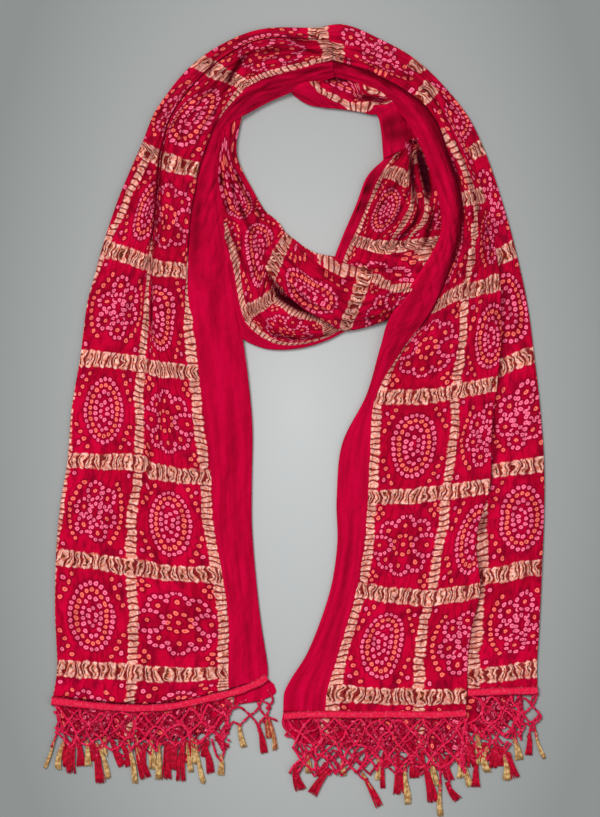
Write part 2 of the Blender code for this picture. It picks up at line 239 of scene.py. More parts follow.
def nearest_on(p, x, y, half_wide, half_tall, count, turn=0.0):
    """Offset from the nearest of `count` places spaced evenly round an ellipse.

    The angle round the ellipse, plus a share of the sine of twice the angle, grows evenly with the arc
    length. That even angle is snapped to `count` steps, and the share is taken off again.
    """
    share = 0.5 * (half_tall - half_wide) / (half_tall + half_wide)
    step = 2 * math.pi / count
    angle = p.maths("ARCTAN2", y / half_tall, x / half_wide)
    even = angle + p.sine(angle * 2) * share if share else angle
    snapped = (p.maths("ROUND", even / step - turn) + turn) * step
    there = snapped - p.sine(snapped * 2) * share if share else snapped
    return x - p.cosine(there) * half_wide, y - p.sine(there) * half_tall


def ring(p, x, y, half_wide, half_tall, count, turn=0.0):
    """Distance to the nearest of `count` dots round an ellipse."""
    return p.span(*nearest_on(p, x, y, half_wide, half_tall, count, turn))


def chain(p, x, y, start, stop, count):
    """Distance to the nearest of `count` dots on a straight line."""
    run = math.dist(start, stop)
    dx, dy = (stop[0] - start[0]) / run, (stop[1] - start[1]) / run
    step = run / (count - 1)
    along = ((x - start[0]) * dx + (y - start[1]) * dy) / step
    at = p.least(p.most(p.maths("ROUND", along), 0.0), count - 1.0) * step
    return p.span(x - start[0] - at * dx, y - start[1] - at * dy)


# Each motif fills a cell. x and y run from the cell's middle, and ax and ay are the same without their signs,
# so what is drawn in one corner stands in all four. A motif gives the distances to its nearest pink and
# orange dots, and how far out in the motif the place is, with 1 at its outline.

def medallion(p, x, y, ax, ay):
    """Four rings of dots, one in another, with a chain of four across each corner of the cell."""
    pink = p.least(
        ring(p, x, y, 20.5, 32.0, 29),
        ring(p, x, y, 9.2, 19.0, 15, 0.5),
        ring(p, x, y, 3.8, 9.4, 7),
        p.span(ax - 28.5, ay - 34.0),
    )
    orange = p.least(ring(p, x, y, 15.0, 25.8, 22, 0.5), chain(p, ax, ay, (30.0, 15.5), (19.5, 37.5), 4))
    return pink, orange, p.span(x / 23.0, y / 34.0)


def flower(p, x, y, ax, ay):
    """Ringed centre, lobes at top, foot and corners, a leaf at each side, and a diamond in each corner."""
    top_x, top_y = ax, ay - 21.0
    side_x, side_y = ax - 17.0, ay - 16.0
    leaf_x = ax - 26.0
    corner_x, corner_y = abs(ax - 29.5), abs(ay - 35.0)
    pink = p.least(
        ring(p, top_x, top_y, 9.5, 9.5, 11) + (top_y < -2.0) * FAR,
        ring(p, side_x, side_y, 9.0, 9.0, 10) + (side_x + side_y < -4.0) * FAR,
        ring(p, leaf_x, y, 13.5, 10.5, 13, 0.5),
    )
    orange = p.least(
        ring(p, x, y, 9.8, 9.8, 9),
        p.span(x, y),
        p.span(top_x, top_y),
        p.span(side_x, side_y),
        p.span(leaf_x - 0.5, y),
        p.span(corner_x - 4.4, corner_y),
        p.span(corner_x, corner_y - 4.8),
    )
    return pink, orange, p.span(x / 30.0, y / 34.0)


def rosette(p, x, y, ax, ay):
    """Six small rings round a seventh, between two arcs."""
    petal_x, petal_y = nearest_on(p, x, y, 14.5, 23.0, 6, 0.25)
    pink = p.least(
        ring(p, petal_x, petal_y, 8.0, 8.6, 9),
        ring(p, x, y, 5.5, 8.5, 8),
        p.span(ax - 30.0, ay - 38.0),
    )
    orange = p.least(
        p.span(petal_x, petal_y),
        ring(p, x, y, 29.0, 38.0, 32) + (ax < 15.0) * FAR,
    )
    return pink, orange, p.span(x / 26.0, y / 36.0)


def motif_dots(p, x, y, ax, ay, column, row_number):
    """A medallion where column and row add up to odd, else a flower, or a rosette in odd columns."""
    odd = (column + row_number) % 2.0
    odd_column = column % 2.0
    is_flower = (1 - odd) * (1 - odd_column)
    is_rosette = (1 - odd) * odd_column
    motifs = medallion(p, x, y, ax, ay), flower(p, x, y, ax, ay), rosette(p, x, y, ax, ay)
    return [a * odd + b * is_flower + c * is_rosette for a, b, c in zip(*motifs)]


def dot_tones(p, distance, plump):
    """How much a dot covers this place, and how far in its pale rim and pinched middle the place is."""
    cover = 1 - p.rise(distance, plump - 0.35, plump + 0.4)
    rim = 1 - p.rise(abs(distance - plump * 0.56), 0.25, 0.95)
    pinch = 1 - p.rise(distance, 0.35, 1.15)
    return cover, rim, pinch


def dot_paint(p, dyes, tint, rim, pinch):
    """A dot's colour: deep or bright by its tint, pale along its rim, darker in its pinched middle."""
    deep, bright, rim_dye, middle_dye = dyes
    return p.blend(pinch, p.blend(rim, p.blend(tint, deep, bright), rim_dye), middle_dye)


def gathered_zari(p, place, beside, half, wander, ragged, tuft):
    """Zari gathered into rounded tufts along a band: (cover, painted shade in its crinkles, gaps between
    tufts).

    The fraction of the place over the tuft's length runs 0 to 1 in each tuft. It is folded to 1 at a gap and
    0 mid tuft; the band narrows with its square, and two dark crinkles of painted shade stand in each tuft
    where a doubled sine peaks.
    """
    phase = (place + wander) / tuft
    folded = abs(p.maths("FRACT", phase) - 0.5) * 2
    reach = half - folded * folded * 1.5 + ragged * 2.4
    cover = 1 - p.rise(beside - reach, -0.55, 0.55)
    doubled = p.sine((phase + ragged * 0.22) * (4 * math.pi)) * 0.5 + 0.5
    inner = 1 - p.rise(beside - reach, -3.4, -2.0)
    tuft_shade = p.rise(doubled + ragged * 1.4, 0.64, 0.9) * inner
    gaps = p.rise(folded + ragged * 0.22, 0.64, 0.84)
    return cover, tuft_shade, gaps


def zari_bands(p, u, v, ax, ay, across, wander, ragged, in_print):
    """Stripes across the cloth and lines along it, a stripe over a line: (cover, painted crinkle shade,
    gaps).
    """
    line_half = 0.5 * INNER_LINE + (across < 0.5) * (0.5 * (LINE - INNER_LINE))
    stripe, stripe_tuft_shade, stripe_gaps = gathered_zari(
        p, u, 0.5 * CELL_TALL - ay, 0.5 * STRIPE, wander, ragged, STRIPE_TUFT
    )
    line, line_tuft_shade, line_gaps = gathered_zari(
        p, v, 0.5 * CELL_WIDE - ax, line_half, wander * 0.6, ragged, LINE_TUFT
    )
    line_tuft_shade = line_tuft_shade * 0.25
    stripe, line = stripe * in_print, line * in_print
    tuft_shade = line_tuft_shade + stripe * (stripe_tuft_shade - line_tuft_shade)
    gaps = line_gaps + stripe * (stripe_gaps - line_gaps)
    return p.most(stripe, line), tuft_shade, gaps


def shaded_dyed_ground(p, flat, inside, halo, grain, in_print):
    """Crimson ground with painted shade inside the motifs, round the raised dots and in pucker patches, and
    the plain border's crimson streaked with painted light and shade of its fine pleats.
    """
    fade = p.noise(flat, 0.018, 3.0)
    shade_patches = p.long_noise(flat, 0.5, 0.11, 3.0)
    pleat_streaks = p.long_noise(flat, 0.12, 0.12, 3.0)
    ground = p.blend(p.rise(fade, 0.3, 0.7), *GROUND)
    # Painted shade: inside the motifs, round the raised dots, and in patches where the cloth puckers.
    shade = (1 - p.rise(inside, 0.7, 1.1)) * p.rise(shade_patches, 0.35, 0.7) * 0.55
    shade = p.most(shade, halo * 0.8 * in_print)
    shade = p.most(shade, p.rise(shade_patches, 0.44, 0.72) * 0.72)
    ground = p.blend(shade, ground, GROUND_SHADE)
    # The plain border: its own crimson, streaked lighter and darker as painted light and shade of fine
    # pleats.
    ground = p.blend(in_print, p.blend(p.rise(pleat_streaks, 0.3, 0.7), *BORDER_DYE_AND_PLEAT_SHADE), ground)
    return p.blend(p.rise(grain, 0.4, 0.8) * 0.2, ground, GROUND_GRAIN)


def printed_cloth():
    """Bandhani cloth: crimson ground, tied dots in three motifs, zari stripes and lines, a plain border."""
    p = Paint("printed_cloth")
    flat = p.scaled(p.uv("cloth"), TO_MM)
    drift = p.scaled(p.noise_vector(flat, 0.03, 2.0), 7.0)
    jitter = p.scaled(p.noise_vector(flat, 0.12, 1.0), 2.4)
    u, v, _ = p.parts(p.vector("ADD", p.vector("ADD", flat, drift), jitter))
    true_u, _, _ = p.parts(flat)
    in_print = true_u > BORDER
    across = (u - FIRST_LINE) / CELL_WIDE
    along = v / CELL_TALL
    column, row_number = p.maths("FLOOR", across), p.maths("FLOOR", along)
    x = (across - column - 0.5) * CELL_WIDE
    y = (along - row_number - 0.5) * CELL_TALL
    ax, ay = abs(x), abs(y)
    pink, orange, inside = motif_dots(p, x, y, ax, ay, column, row_number)

    speck = p.noise(flat, 0.4, 2.0)
    ragged = p.noise(flat, 0.30, 3.0) - 0.5
    fine_ragged = p.noise(flat, 0.62, 2.0) - 0.5
    wander = (p.noise(flat, 0.06, 2.0) - 0.5) * 14.0
    zari, tuft_shade, gaps = zari_bands(
        p, u, v, ax, ay, across, wander, ragged + fine_ragged * 0.7, in_print
    )

    plump = 2.15 + (speck - 0.5) * 1.5
    pink_cover, pink_rim, pink_pinch = dot_tones(p, pink, plump)
    orange_cover, orange_rim, orange_pinch = dot_tones(p, orange, plump + 0.1)
    # A ring round each dot, where painted shade falls beside the raised dot; the relief also sinks there.
    halo = 1 - p.rise(p.least(pink, orange), plump + 0.2, plump + 2.6)
    dots_allowed = (1 - p.rise(zari, 0.1, 0.5)) * in_print
    pink_cover, orange_cover = pink_cover * dots_allowed, orange_cover * dots_allowed

    grain = p.noise(flat, 1.3, 2.0)
    crinkle = p.long_noise(flat, 0.25, 0.08, 4.0)
    crease = (1 - p.rise(abs(crinkle - 0.5), 0.0, 0.06)) * in_print
    tint = p.noise(flat, 0.3, 1.0)
    dot_tint = p.rise(tint, 0.35, 0.65)
    pink_paint = dot_paint(p, PINK_DOT, dot_tint, pink_rim * 0.8, pink_pinch * 0.6)
    orange_paint = dot_paint(p, ORANGE_DOT, dot_tint, orange_rim * 0.75, orange_pinch * 0.6)
    # The zari thread's colour, whose pale end is a painted glint; its dark crinkles are painted shade.
    thread = p.blend(p.rise(tint, 0.3, 0.7), *ZARI_AND_GLINT)
    thread = p.blend(tuft_shade, thread, p.blend(p.rise(speck, 0.35, 0.65), *ZARI_TUFT_SHADE))
    thread = p.blend(gaps * 0.95, thread, ZARI_GAP)
    thread = p.blend(p.rise(speck + ragged * 0.5, 0.56, 0.72) * 0.55, thread, ZARI_STAIN)
    colour = p.blend(orange_cover, shaded_dyed_ground(p, flat, inside, halo, grain, in_print), orange_paint)
    colour = p.blend(pink_cover, colour, pink_paint)
    colour = p.blend(zari, colour, thread)
    # Painted shade: in the fine creases and the folds, dark crimson over tucks, and near-black in the deepest
    # hollows.
    fold_shade, tuck, _ = p.parts(p.uv("tone"))
    colour = p.blend(crease * 0.32, colour, FOLD_SHADE, "MULTIPLY")
    colour = p.blend(p.least(fold_shade, 1.0), colour, FOLD_SHADE, "MULTIPLY")
    colour = p.blend(p.rise(tuck, 0.0, 0.8), colour, TUCK_SHADE)
    colour = p.blend(p.rise(fold_shade, 0.9, 1.5) * 0.9, colour, DEEP_SHADE)

    pucker = p.long_noise(flat, 0.55, 0.16, 3.0)
    raised = zari * (1 - tuft_shade * 0.8) * (1 - gaps)
    dots = pink_cover * (1 - pink_pinch * 0.7) + orange_cover * (1 - orange_pinch * 0.7)
    relief = dots * 0.35 + raised * 0.5 - halo * 0.25 * in_print + pucker * 2.2 + grain * 0.12 - crease * 0.5
    return p.finish(
        Base_Color=colour,
        Roughness=0.78 - raised * 0.3,
        Metallic=raised * 0.12,
        Normal=p.bump(relief, 0.0013, 0.8),
        Specular_IOR_Level=0.14,
        Specular_Tint=(1.0, 0.25, 0.4, 1.0),
        Sheen_Weight=0.05,
        Sheen_Roughness=0.5,
        Sheen_Tint=(1.0, 0.05, 0.25, 1.0),
    )


# ---------------------------------------------------------------- surfaces

GRID = 2.0                        # spacing of a sheet's points along it
FLOOR_GAP = 0.35                  # between a sheet's underside and the floor
PRINT_STEEPEST = 1.3              # see hermite: how the print is held beside a tuck
WALL = 14                         # points down each rounded side
UNDERSIDE = 9                     # points across the underside
LAYER = 3.0                       # thickness of one folded layer of cloth, as its side shows it
LEAST_BULGE, MOST_BULGE = 0.3, 4.0
LEAST_THICK = 0.9                 # of a sheet, wherever its folds sink
PLEAT_RISE, PLEAT_SHIFT = 1.1, 2.0  # how high a fine pleat stands, and how far it draws the print across
UNEVEN = 0.5                      # height of the cloth's gentle unevenness
GATHER_FROM = 9.0                 # height of a sheet's crown from which fine pleats set in
WIDE_PLEAT, NARROW_PLEAT = 9.5, 6.1
TUCK_FROM, TUCK_OVER = 11.0, 3.0  # the cloth is out of sight where its print is drawn together this much
EDGE_DRAW = 400.0                 # a print drawn together more than this is a cut edge, not a tuck
BORDER_REACH = 8.0                # how far into the plain border a tuck may reach
BESIDE_TUCK = 0.45                # how hidden the cloth beside a tuck is
GROOVE = 0.42                     # share of a side's bulge that the groove between two layers takes
EDGE_HOLD = 14                    # the higher it is, the nearer to an edge folds and pleats fade out
PLEAT_SHADE = 0.7                 # how shaded the bottom of a fine pleat is

# One row across a sheet: its place along the print in cells, its heights above the floor (where its first
# edge rests, that edge's top, the crown, the last edge's top, where that rests), and stations (right, down,
# across the print) from the first edge to the last.
Row = namedtuple("Row", "cells heights stations")

# A soft fold: chart places along it, its rise (below 0 for a trough), its half-width, and how much painted
# shade darkens the cloth along it.
Fold = namedtuple("Fold", "path rise half_width shade", defaults=(0.0,))


def unit(ways):
    """The same directions with length 1."""
    return ways / np.maximum(np.linalg.norm(ways, axis=-1, keepdims=True), 1e-9)


def sideways_of(ways):
    """Directions square to `ways` along the floor, with length 1."""
    return unit(np.stack([-ways[..., 1], ways[..., 0]], axis=-1))


def with_height(flat, height):
    """Chart places (right, down) with a height as their third part."""
    return np.concatenate([flat, np.broadcast_to(height, flat.shape[:-1])[..., None]], axis=-1)


def hermite(points, knots, span, share, steepest=None):
    """Smooth curve through points: a cubic in each span, its slope at a point that between the neighbours.

    points is (..., stations, parts) and knots (..., stations) their places along the curve; span and share
    (..., samples) say where to read it. With `steepest`, a slope is held to that many times the gentler of
    the two spans beside it, so a tuck doesn't stretch what lies next to it.
    """
    ahead = np.diff(points, axis=-2) / np.diff(knots, axis=-1)[..., None]
    slopes = np.empty_like(points)
    slopes[..., [0, -1], :] = ahead[..., [0, -1], :]
    reach = knots[..., 2:] - knots[..., :-2]
    slopes[..., 1:-1, :] = (points[..., 2:, :] - points[..., :-2, :]) / reach[..., None]
    if steepest:
        most = steepest * np.minimum(np.abs(ahead[..., 1:, :]), np.abs(ahead[..., :-1, :]))
        slopes[..., 1:-1, :] = np.clip(slopes[..., 1:-1, :], -most, most)
    take = lambda table, at: np.take_along_axis(table, at[..., None], axis=-2)
    width = np.take_along_axis(np.diff(knots, axis=-1), span, axis=-1)[..., None]
    s = share[..., None]
    before, after = take(points, span), take(points, span + 1)
    leave, reach_in = take(slopes, span) * width, take(slopes, span + 1) * width
    return (
        before * (1 + 2 * s) * (1 - s) ** 2 + after * s * s * (3 - 2 * s)
        + leave * s * (1 - s) ** 2 - reach_in * s * s * (1 - s)
    )


def chord_knots(places):
    """Distance along a line of places, from 0."""
    steps = np.linalg.norm(np.diff(places, axis=-2), axis=-1)
    steps = np.maximum(steps, 1e-3)
    return np.concatenate([np.zeros_like(steps[..., :1]), np.cumsum(steps, axis=-1)], axis=-1)


def spans_at(knots, at):
    """The span of a curve that each distance falls in, and its share of the way along that span."""
    span = np.clip(np.searchsorted(knots, at, side="right") - 1, 0, len(knots) - 2)
    return span, (at - knots[span]) / (knots[span + 1] - knots[span])


def fine_rows(rows):
    """Stations (rows, stations, 3), heights (rows, 5) and cells (rows,) of rows every GRID along a sheet."""
    stations = np.array([row.stations for row in rows], float)
    heights = np.array([row.heights for row in rows], float)
    cells = np.array([row.cells for row in rows], float)
    middle = chord_knots(stations[:, stations.shape[1] // 2, :2])
    at = np.linspace(0, middle[-1], int(np.ceil(middle[-1] / GRID)) + 1)
    span, share = spans_at(middle, at)
    lines = np.swapaxes(stations, 0, 1)
    where = [table[None].repeat(len(lines), axis=0) for table in (middle, span, share)]
    wide = hermite(lines, *where)
    wide[..., 2:] = hermite(lines[..., 2:], *where, PRINT_STEEPEST)
    tall = hermite(heights, middle, span, share)
    along = cells[span] + share * (cells[span + 1] - cells[span])
    return np.swapaxes(wide, 0, 1), tall, along


def waves(a, b, seed, wavelengths, size):
    """Gentle unevenness: a sum of sine waves over the plane (a, b) with seeded directions and phases."""
    rng = np.random.default_rng(seed)
    total = np.zeros(np.broadcast(a, b).shape)
    for wavelength in wavelengths:
        turn, phase = rng.uniform(0, 2 * np.pi, 2)
        total += np.sin(2 * np.pi * (a * np.cos(turn) + b * np.sin(turn)) / wavelength + phase)
    return size * total / len(wavelengths)


def fold_bell(places, fold):
    """Bell across the fold's line, from 0 to 1, rounded off towards both of its ends."""
    path = np.array(fold.path, float)
    runs = np.linalg.norm(np.diff(path, axis=0), axis=1)
    starts = np.concatenate([[0], np.cumsum(runs)])
    nearest = np.full(places.shape[:-1], np.inf)
    along = np.zeros(places.shape[:-1])
    for a, b, run, start in zip(path[:-1], path[1:], runs, starts):
        way = (b - a) / run
        t = np.clip((places - a) @ way, 0, run)
        gap = np.linalg.norm(places - a - t[..., None] * way, axis=-1)
        closer = gap < nearest
        nearest = np.where(closer, gap, nearest)
        along = np.where(closer, start + t, along)
    fade = np.sin(np.pi * np.clip(along / starts[-1], 0, 1)) ** 0.6
    return fade * np.exp(-((nearest / fold.half_width) ** 2))


def bulge_of(top, rest):
    """How far a rounded side stands out from the edge of the top."""
    return np.clip(0.5 * (top - rest), LEAST_BULGE, MOST_BULGE)


def layers_in(top, rest):
    """How many folded layers show in a sheet's side."""
    return np.clip(np.round((top - rest).mean() / LAYER), 1, 4)


def side_wall(edge, inner, rest, layers, lean):
    """Rounded side from a sheet's edge down to where it rests, with one bulge for each folded layer.

    Each point lies a half circle's reach out from the edge, less a groove between two layers. `inner` is the
    top's point next to the edge.
    """
    outward = unit((edge - inner)[:, :2])
    q = np.linspace(0, 1, WALL + 2)[1:-1][None, :]
    round_out = np.sqrt(np.clip(1 - (2 * q - 1) ** 2, 0, 1))
    groove = np.abs(np.cos(np.pi * layers * (q + lean[:, None]))) ** 6
    reach = bulge_of(edge[:, 2], rest)[:, None] * (round_out * (1 - GROOVE * groove))
    places = edge[:, None, :2] + outward[:, None, :] * reach[..., None]
    return with_height(places, edge[:, 2:] * (1 - q) + rest[:, None] * q)


def underside(last, first, rest_b, rest_a):
    """Straight from the last edge back to the first, sinking to the floor between them by a cube."""
    share = np.linspace(0, 1, UNDERSIDE)[None, :]
    flat = last[:, None, :2] * (1 - share[..., None]) + first[:, None, :2] * share[..., None]
    ends = rest_b[:, None] * (1 - share) + rest_a[:, None] * share
    return with_height(flat, FLOOR_GAP + (ends - FLOOR_GAP) * np.abs(2 * share - 1) ** 3)


def pleats(reach, along, gather, seed):
    """Fine pleats along a gathered sheet, -1 to 1: two sines of the distance across, of wandering phase."""
    wander = waves(along, 0 * along, seed, (70, 110, 190), 2.2)
    wide = np.sin(2 * np.pi * reach / WIDE_PLEAT + wander)
    narrow = np.sin(2 * np.pi * reach / NARROW_PLEAT - 1.3 * wander + 0.9)
    return gather * (0.65 * wide + 0.35 * narrow)


def tucked(place, prints):
    """How hidden the cloth is, 0 to 1: where its print is drawn together hard, and partly beside that."""
    step = np.linalg.norm(np.diff(place, axis=1), axis=-1)
    drawn = np.abs(np.diff(prints, axis=1)) / np.maximum(step, 0.05)
    printed = prints[:, 1:] > BORDER - BORDER_REACH
    hidden = np.clip((drawn - TUCK_FROM) / TUCK_OVER, 0, 1) * printed * (drawn < EDGE_DRAW)
    beside = np.maximum(np.pad(hidden, ((0, 0), (1, 0))), np.pad(hidden, ((0, 0), (0, 1))))
    further = np.maximum(np.roll(beside, 1, axis=1), np.roll(beside, -1, axis=1))
    return np.maximum(beside, BESIDE_TUCK * further)


def spread_across(knots, counts, bulge_a, bulge_b):
    """Where a row's points lie: counts[k] of them evenly over its span k, short of both rounded sides.

    Returns each point's span, its share of the way along that span, and its distance from the first station.
    """
    widths = np.diff(knots, axis=1)
    spans, shares = [], []
    for k, count in enumerate(counts):
        low = bulge_a / widths[:, 0] if k == 0 else np.zeros(len(knots))
        high = 1 - bulge_b / widths[:, -1] if k == len(counts) - 1 else np.ones(len(knots))
        even = np.arange(count + (k == len(counts) - 1)) / count
        spans.append(np.full((len(knots), len(even)), k))
        shares.append(low[:, None] + (high - low)[:, None] * even)
    span, share = np.concatenate(spans, axis=1), np.concatenate(shares, axis=1)
    reach = np.take_along_axis(knots, span, axis=1) + share * np.take_along_axis(widths, span, axis=1)
    return span, share, reach


def laid_top(place, reach, along, laid_print, heights, folds, seed, roundness):
    """Height of a sheet's top, how shaded its folds are, and its print's place across, drawn by the pleats.

    With t the share of the way across, the height is the line between the two edges' tops, plus the crown
    times 1 - |2t - 1|^roundness, plus each fold's rise times its bell, plus pleats and waves. What is added
    fades out at the edges, and nowhere does the top sink through the underside.
    """
    rest_a, top_a, crown, top_b, rest_b = (part[:, None] for part in heights)
    t = (reach - reach[:, :1]) / (reach[:, -1:] - reach[:, :1])
    rounded = 1 - np.abs(2 * t - 1) ** roundness
    height = top_a * (1 - t) + top_b * t + (crown - 0.5 * (top_a + top_b)) * rounded
    free = np.clip(EDGE_HOLD * t * (1 - t), 0, 1)
    patchy = np.clip(0.85 + waves(place[..., 0], place[..., 1], seed + 4, (17, 29, 47), 0.7), 0.4, 1.2)
    shade = np.zeros(height.shape)
    for fold in folds:
        bell = fold_bell(place, fold)
        height += fold.rise * bell * free
        shade = np.maximum(shade, fold.shade * bell**1.2 * (patchy if fold.shade < 1 else 1))
    gather = np.clip((crown - GATHER_FROM) / GATHER_FROM, 0, 1)
    pleat = pleats(reach, along, gather, seed + 2)
    height += PLEAT_RISE * pleat * free
    shade = np.maximum(shade, PLEAT_SHADE * np.clip(-pleat, 0, 1) ** 1.6 * patchy)
    across = laid_print + PLEAT_SHIFT * pleat * free
    height += waves(across, along, seed, (11, 14, 18, 23, 31), UNEVEN) * free
    low = (rest_a * (1 - t) + rest_b * t) * (1 - rounded) + FLOOR_GAP
    return np.maximum(height, low + LEAST_THICK), shade, across


def sheet_grid(rows, counts, folds, seed, roundness):
    """Ring of points round a sheet for each fine row: top, one side, flat underside and the other side.

    Returns places (rows, ring, 3) with heights in the last part, print places (rows, ring, 2) in millimetres,
    and (rows, ring, 2) how shaded by folds and how tucked away the cloth is.
    """
    stations, heights, cells = fine_rows(rows)
    rest_a, top_a, crown, top_b, rest_b = np.moveaxis(np.maximum(heights, 0.0), 1, 0)
    rest_a, rest_b = np.maximum(rest_a, FLOOR_GAP), np.maximum(rest_b, FLOOR_GAP)
    knots = chord_knots(stations[..., :2])
    span, share, reach = spread_across(knots, counts, bulge_of(top_a, rest_a), bulge_of(top_b, rest_b))
    place = hermite(stations[..., :2], knots, span, share)
    laid_print = hermite(stations[..., 2:], knots, span, share, PRINT_STEEPEST)[..., 0]
    along = (cells * CELL_TALL)[:, None]
    heights = rest_a, top_a, crown, top_b, rest_b
    height, shade, across = laid_top(place, reach, along, laid_print, heights, folds, seed, roundness)

    top = with_height(place, height)
    lean = waves(along[:, 0], 0 * cells, seed + 1, (60, 95, 150), 0.16)
    side_a = side_wall(top[:, 0], top[:, 1], rest_a, layers_in(top_a, rest_a), lean)
    side_b = side_wall(top[:, -1], top[:, -2], rest_b, layers_in(top_b, rest_b), lean)
    under = underside(top[:, -1], top[:, 0], rest_b, rest_a)
    places = np.concatenate([top, side_b, under, side_a[:, ::-1]], axis=1)

    def down(side, edge):
        return np.cumsum(np.linalg.norm(np.diff(side, axis=1, prepend=edge), axis=-1), axis=1)

    sign = np.sign(across[:, -1] - across[:, 0])[:, None]
    across_b = across[:, -1:] + sign * down(side_b, top[:, -1:])
    across_a = across[:, :1] - sign * down(side_a, top[:, :1])
    width = np.linalg.norm(place[:, -1] - place[:, 0], axis=-1)[:, None]
    across_under = across_b[:, -1:] + sign * (width * np.linspace(0, 1, UNDERSIDE))
    ring_across = np.concatenate([across, across_b, across_under, across_a[:, ::-1]], axis=1)
    prints = np.stack(np.broadcast_arrays(ring_across, along), axis=-1)
    beyond_top = places.shape[1] - place.shape[1]
    tones = np.stack([shade, tucked(place, laid_print)], axis=-1)
    return places, prints, np.pad(tones, ((0, 0), (0, beyond_top), (0, 0)))


def to_frame(places):
    """Chart places with heights, in millimetres, as the frame's metres."""
    right, down, height = np.moveaxis(places, -1, 0)
    return np.stack([right - CHART_CENTRE[0], CHART_CENTRE[1] - down, height], axis=-1) * MM


def mesh_object(name, points, faces, material, maps=()):
    """Smooth mesh piece that rides on the stole. maps are (name, one place per face corner)."""
    mesh = bpy.data.meshes.new(name)
    mesh.from_pydata(points.tolist(), [], faces)
    for map_name, places in maps:
        layer = mesh.uv_layers.new(name=map_name, do_init=False)
        layer.uv.foreach_set("vector", np.ascontiguousarray(places, np.float32).ravel())
    mesh.shade_smooth()
    mesh.materials.append(material)
    piece = bpy.data.objects.new(name, mesh)
    bpy.context.scene.collection.objects.link(piece)
    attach(piece, "root")
    return piece


def ring_mesh(name, places, prints, tones, material):
    """Closed skin over rows of rings, with a cap at each end.

    The map `cloth` holds the print places in metres, and `tone` how shaded and how tucked away the cloth is,
    which its material paints as shade. `OFBake` lays the skin out over a unit square: the share of the way
    round by the share of rows.
    """
    rows, count = places.shape[:2]
    points = to_frame(places).reshape(-1, 3)
    index = np.arange(rows * count).reshape(rows, count)
    after = np.roll(index, -1, axis=1)
    quads = np.stack([index[:-1], after[:-1], after[1:], index[1:]], axis=-1).reshape(-1, 4)
    onward, back = slice(None), slice(None, None, -1)
    turn, first, last = (back, onward, back) if facing_down(points, quads, count) else (onward, back, onward)
    faces = quads[:, turn].tolist() + [index[0, first].tolist(), index[-1, last].tolist()]

    row_at, column_at = np.broadcast_arrays(
        np.arange(rows - 1)[:, None, None] + np.array([0, 0, 1, 1]),
        np.arange(count)[:, None] + np.array([0, 1, 1, 0]),
    )

    def corners(inner, first_row, last_row):
        quad_corners = inner.reshape(-1, 4, 2)[:, turn].reshape(-1, 2)
        return np.concatenate([quad_corners, first_row[first], last_row[last]])

    steps = np.linalg.norm(np.diff(places, axis=1, append=places[:, :1]), axis=-1).mean(axis=0)
    across = np.concatenate([[0], np.cumsum(steps)]) / steps.sum()
    down = np.linspace(0, 1, rows)
    wide = np.concatenate([prints, prints[:, -1:] + (prints[:, -1:] - prints[:, -2:-1])], axis=1) * MM
    shown = np.concatenate([tones, tones[:, :1]], axis=1)
    bake = np.stack([across[column_at], down[row_at]], axis=-1)
    bake_ends = [np.stack([across[:-1], np.full(count, edge)], axis=-1) for edge in (0.0, 1.0)]
    maps = (
        ("cloth", corners(wide[row_at, column_at], prints[0] * MM, prints[-1] * MM)),
        ("tone", corners(shown[row_at, column_at], tones[0], tones[-1])),
        ("OFBake", corners(bake, *bake_ends)),
    )
    return mesh_object(name, points, faces, material, maps)


def facing_down(points, quads, count):
    """Whether the top's faces point down, judged on those a sixth of the way round the rings."""
    a, b, _, d = (points[quads[count // 6 :: count, k]] for k in range(4))
    return np.cross(b - a, d - a)[:, 2].mean() < 0


# ---------------------------------------------------------------- the sheets' tables

def sheet_rows(prints, *table):
    """Rows from (cells, heights, stations...), each with as many stations as there are `prints`.

    Three heights stand for edges that rest on the floor. A station (right, down) lies at its column's place
    across the print, which `prints` gives; a station with a third number has its own.
    """
    rows = []
    for cells, heights, *stations in table:
        tall = heights if len(heights) == 5 else (0, *heights, 0)
        rows.append(Row(cells, tall, [(*station, across)[:3] for station, across in zip(stations, prints)]))
    return rows


def folds_of(*table):
    """Folds from (path, rise, half width), some with a shade."""
    return [Fold(*entry) for entry in table]


